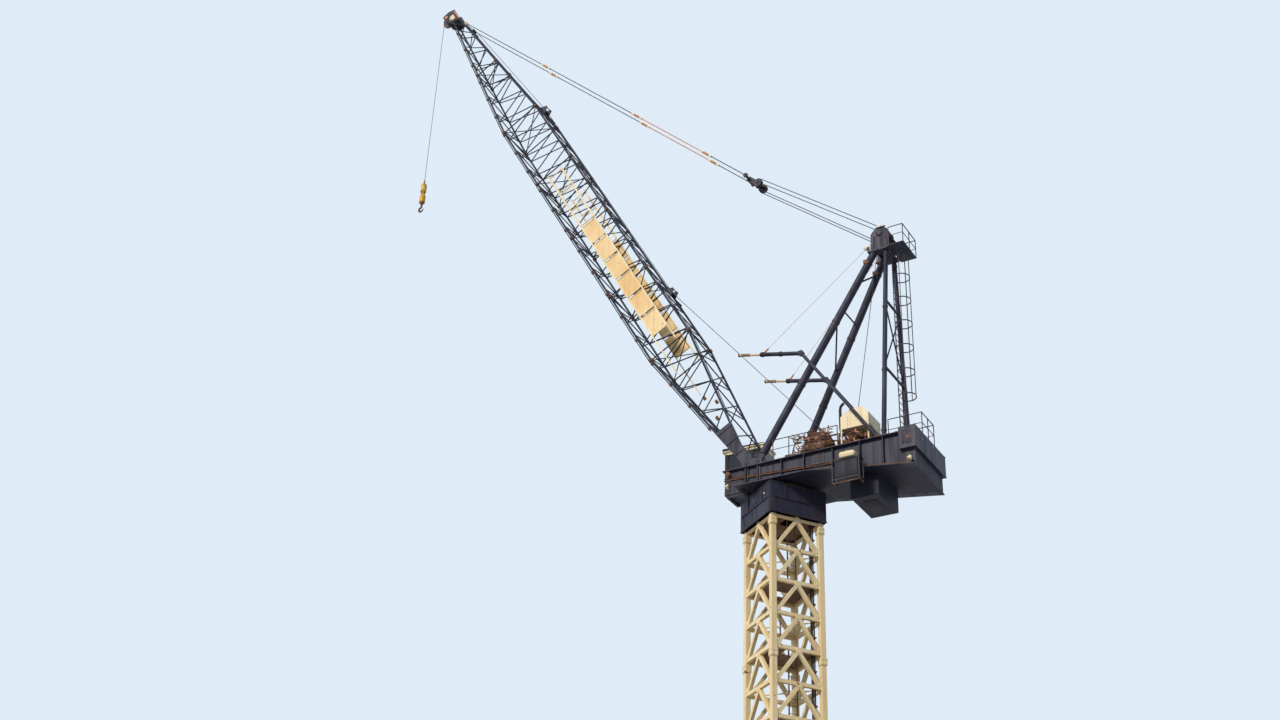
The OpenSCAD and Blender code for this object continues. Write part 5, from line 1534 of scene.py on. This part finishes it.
    def block_fittings(self) -> None:
        """Add plates, bolts and rusty shackles to the falls' block."""
        rims, shackles = Shaper(self.space), Shaper(self.space)
        a = math.radians(180 - self.tilt)
        way = Vector((math.cos(a), 0.0, math.sin(a)))
        start = Vector((self.anchor, 0.0, self.anchor_z)) + way * self.pendant
        wheel = start + way * 0.42
        for y in (-0.13, 0.13):
            for side in (-1, 1):
                rims.lathe(wheel + Vector((0, y + side * 0.046, 0)), (0, side, 0),
                           [(0.0, 0.0), (0.04, 0.0), (0.03, 0.014), (0.0, 0.016)], 20)
        for side in (-1, 1):
            shackles.tube(start + Vector((0, side * 0.225, 0)), start + Vector((0, side * 0.229, 0)), 0.04, 6)
            for k in range(3):
                spot = start + way * (0.10 + 0.1 * k) + Vector((0, side * 0.073, 0))
                shackles.bolts(spot, spot, 1, (0, side, 0), 0.018, 0.014)
        rims.piece("falls_block_caps", "jib", Finish.NAVY)
        shackles.piece("falls_block_bolts", "jib", Finish.RUSTY)


@dataclass
class Ropes:
    """The ropes that stretch as the crane moves."""

    deck: Space
    radius: float = ROPE_R

    def build(self) -> None:
        """Make the falls, the rope from the drum to the jib and the hanging rope."""
        self.falls()
        self.straight("hoist_rope_to_jib", "deck_hoist_rope", ("upper", "jib"), (0.0069, 0.0, 0.0674))
        self.straight("hook_rope", "hanging_rope", ("hoist_line", "hook_block"))
        lead = Shaper(self.deck)
        lead.tube((-1.2233, 0.12, 1.7543), (-1.2727, 0.12, 1.6453), self.radius, 10)
        lead.piece("hoist_rope_lead", "upper", Finish.ROPE)

    def ends(self, points: Sequence[Vector]) -> tuple[Vector, Vector]:
        """Find the two ends of a straight rope.

        Args:
            points: The points of its CAD mesh.

        Returns:
            The middles of its ends, in either order.
        """
        spread = max(points, key=lambda p: (p - points[0]).length)
        other = max(points, key=lambda p: (p - spread).length)
        way = (other - spread).normalized()
        along = sorted(points, key=lambda p: p.dot(way))
        low, high = along[0].dot(way), along[-1].dot(way)
        first = [p for p in along if p.dot(way) < low + 0.004]
        last = [p for p in along if p.dot(way) > high - 0.004]
        return sum(first, Vector()) / len(first), sum(last, Vector()) / len(last)

    def straight(self, name: str, node: str, bodies: tuple[str, str],
                 shift: Point = (0.0, 0.0, 0.0)) -> None:
        """Make one straight rope in place of its CAD node.

        Args:
            name: The piece's name.
            node: The CAD node that it stands for.
            bodies: The bodies at its first and last end; only the first is read, to tell which end comes
                first.
            shift: How far its first end moves, in the deck's axes, to stay clear of the drum at any angle.
        """
        a, b = self.ends([v.co.copy() for v in frame["nodes"][node].data.vertices])
        if bodies[0] == "upper" and a.z > b.z or bodies[0] == "hoist_line" and a.z < b.z:
            a, b = b, a
        a = a + self.deck.matrix.to_3x3() @ Vector(shift)
        rope = Shaper(Space(Matrix.Identity(4)))
        rope.tube(a, b, self.radius, 10)
        log.info("%s: %.2f m", name, (b - a).length)
        rope.stretched(name, Finish.ROPE, [node])

    def falls(self) -> None:
        """Make the four falls between the A-frame's head and the block."""
        back = self.deck.matrix.inverted()
        points = [back @ v.co for v in frame["nodes"]["luffing_falls"].data.vertices]
        falls = Shaper(self.deck)
        for y in (-0.13, -0.09, 0.09, 0.13):
            a, b = self.ends([p for p in points if abs(p.y - y) < 0.012])
            if a.x > b.x:
                a, b = b, a
            for gap in (0.0, 0.016):
                shift = Vector((0, math.copysign(gap, y), 0))
                falls.tube(a + shift, b + shift, self.radius, 8)
        start, end = self.deck.point(*a), self.deck.point(*b)
        falls.stretched("falls_ropes",
                        Finish.ROPE, ["luffing_falls"])


@dataclass
class Hook:
    """The hook, its weight and swivel, in the deck's axes."""

    space: Space

    def build(self) -> None:
        """Dress the weight and the hook, and add bands, a socket and the latch."""
        dress(Finish.YELLOW, "hook_weight")
        low, high = self.space.box("hook_weight")
        x, y = (low.x + high.x) / 2, (low.y + high.y) / 2
        bands = Shaper(self.space)
        for z, r in ((low.z + 0.035, 0.075), (low.z + 0.325, 0.058), (low.z + 0.615, 0.077)):
            bands.ring((x, y, z), (0, 0, 1), r - 0.014, r, 0.012, 28)
        bands.lathe((x, y, high.z - 0.05), (0, 0, 1),
                    [(0.007, -0.10), (0.028, -0.10), (0.018, 0.045), (0.007, 0.05)], 20, True)
        bands.piece("hook_weight_bands", "hook_block", Finish.ORANGE)
        self.forging()

    def forging(self) -> None:
        """Make the forged hook, thick in its back and fine at its tip, with a latch."""
        low, high = self.space.box("hook")
        x, y = (low.x + high.x) / 2, (low.y + high.y) / 2
        centre = high.z - 0.20
        hook, latch = Shaper(self.space), Shaper(self.space)
        path = [(x, y, high.z), (x, y, high.z - 0.06), (x, y, high.z - 0.09)]
        widths = [0.027, 0.027, 0.024]
        bend = 0.068
        for k in range(15):
            t = math.radians(86 - k * 20)
            path.append((x + bend * math.cos(t), y, centre + bend * math.sin(t)))
            widths.append(0.022 + 0.006 * math.sin(math.pi * min(k, 10) / 10) - 0.0027 * max(k - 9, 0))
        hook.sweep(path, widths, 14)
        hook.lathe((x, y, high.z - 0.03), (0, 0, 1),
                   [(0.0, -0.02), (0.036, -0.02), (0.036, 0.02), (0.0, 0.02)], 6)
        hook.piece("crane_hook", "hook", Finish.HOOK, ["hook"])
        latch.sweep([(x + 0.005, y, centre + 0.07), (x - 0.035, y, centre + 0.055),
                     (x - 0.062, y, centre + 0.03)], 0.006)
        latch.piece("hook_latch", "hook", Finish.RUSTY)


# Studio


@dataclass
class Studio:
    """The floor, the light and the camera at the photograph's place."""

    eye: Point = (-27.47, 15.21, 2.5335)
    look: tuple[float, float] = (0.9185, -0.3954)
    pitch: float = 30.73
    roll: float = 2.34
    lens: float = 46.6

    def camera(self) -> None:
        """Make the camera at the photograph's viewpoint."""
        up, side = math.radians(self.pitch), math.radians(self.roll)
        flat = Vector((*self.look, 0.0)).normalized()
        look = flat * math.cos(up) + Vector((0, 0, math.sin(up)))
        right = flat.cross(Vector((0, 0, 1)))
        top = right.cross(look)
        level = right * math.cos(side) + top * math.sin(side)
        over = top * math.cos(side) - right * math.sin(side)
        data = bpy.data.cameras.new("camera")
        data.lens, data.sensor_width, data.clip_end = self.lens, 36.0, 3000.0
        camera = bpy.data.objects.new("camera", data)
        turn = Matrix((level, over, -look)).transposed().to_4x4()
        camera.matrix_world = Matrix.Translation(self.eye) @ turn
        bpy.context.scene.collection.objects.link(camera)
        bpy.context.scene.camera = camera

    def light(self) -> None:
        """Make a soft high sun and a pale sky."""
        data = bpy.data.lights.new("sun", "SUN")
        data.energy, data.angle, data.color = 2.6, math.radians(9), (1.0, 0.90, 0.78)
        sun = bpy.data.objects.new("sun", data)
        towards = Vector((-0.34, 0.76, 0.54))
        sun.matrix_world = towards.to_track_quat("Z", "Y").to_matrix().to_4x4()
        bpy.context.scene.collection.objects.link(sun)
        world = bpy.data.worlds.new("sky")
        bpy.context.scene.world = world
        world.use_nodes = True
        tree = world.node_tree
        sky = next(n for n in tree.nodes if n.type == "BACKGROUND")
        sky.inputs["Color"].default_value, sky.inputs["Strength"].default_value = (0.78, 0.88, 1.0, 1.0), 0.55
        seen = tree.nodes.new("ShaderNodeBackground")
        seen.inputs["Color"].default_value = (0.74, 0.84, 0.94, 1.0)
        seen.inputs["Strength"].default_value = 1.0
        self.seen_only(tree, sky.outputs[0], seen.outputs[0], tree.nodes["World Output"].inputs["Surface"])

    def seen_only(self, tree: bpy.types.NodeTree, plain: bpy.types.NodeSocket, shown: bpy.types.NodeSocket,
                  into: bpy.types.NodeSocket) -> None:
        """Show one shader to the camera and reflections, and another to the light.

        Args:
            tree: The node tree to work in.
            plain: The shader that lights the object.
            shown: The shader that is seen.
            into: Where the joined shader goes.
        """
        path = tree.nodes.new("ShaderNodeLightPath")
        share = path.outputs["Is Camera Ray"]
        for name in ("Is Glossy Ray", "Is Transmission Ray"):
            either = tree.nodes.new("ShaderNodeMath")
            either.operation = "MAXIMUM"
            tree.links.new(share, either.inputs[0])
            tree.links.new(path.outputs[name], either.inputs[1])
            share = either.outputs[0]
        mix = tree.nodes.new("ShaderNodeMixShader")
        tree.links.new(share, mix.inputs[0])
        tree.links.new(plain, mix.inputs[1])
        tree.links.new(shown, mix.inputs[2])
        tree.links.new(mix.outputs[0], into)

    def floor(self) -> None:
        """Make the plain pale floor that the crane stands on."""
        mesh = bmesh.new()
        bmesh.ops.create_grid(mesh, x_segments=1, y_segments=1, size=1500.0)
        data = bpy.data.meshes.new("floor")
        mesh.to_mesh(data)
        mesh.free()
        paint = bpy.data.materials.new("floor_paint")
        paint.use_nodes = True
        tree = paint.node_tree
        dull = next(n for n in tree.nodes if n.type == "BSDF_PRINCIPLED")
        dull.inputs["Base Color"].default_value = (0.26, 0.26, 0.26, 1.0)
        pale = tree.nodes.new("ShaderNodeBsdfPrincipled")
        pale.inputs["Base Color"].default_value = (0.80, 0.81, 0.82, 1.0)
        dull.inputs["Roughness"].default_value = pale.inputs["Roughness"].default_value = 0.9
        self.seen_only(tree, dull.outputs[0], pale.outputs[0],
                       tree.nodes["Material Output"].inputs["Surface"])
        data.materials.append(paint)
        floor = bpy.data.objects.new("floor", data)
        bpy.context.scene.collection.objects.link(floor)

    def build(self) -> None:
        """Make the camera, the light and the floor."""
        bpy.context.scene.view_settings.view_transform = "Standard"
        self.camera()
        self.light()
        self.floor()


def main() -> None:
    """Build the studio and the crane."""
    logging.basicConfig(level=logging.INFO, format="%(name)s: %(message)s")
    ground = Space(Matrix.Identity(4))
    deck = deck_space()
    jib = jib_space(deck, math.radians(LUFF_REST))
    top = Space(Matrix.Translation(joint("slew")["pos_m"]))
    for part in (Studio(), Mast(ground), TowerTop(top), Deck(deck), Machinery(deck), Cab(deck), AFrame(deck),
                 Backstops(deck), Jib(jib), Ropes(deck), Hook(deck)):
        log.info("building %s", type(part).__name__)
        part.build()


if __name__ == "__main__":
    main()
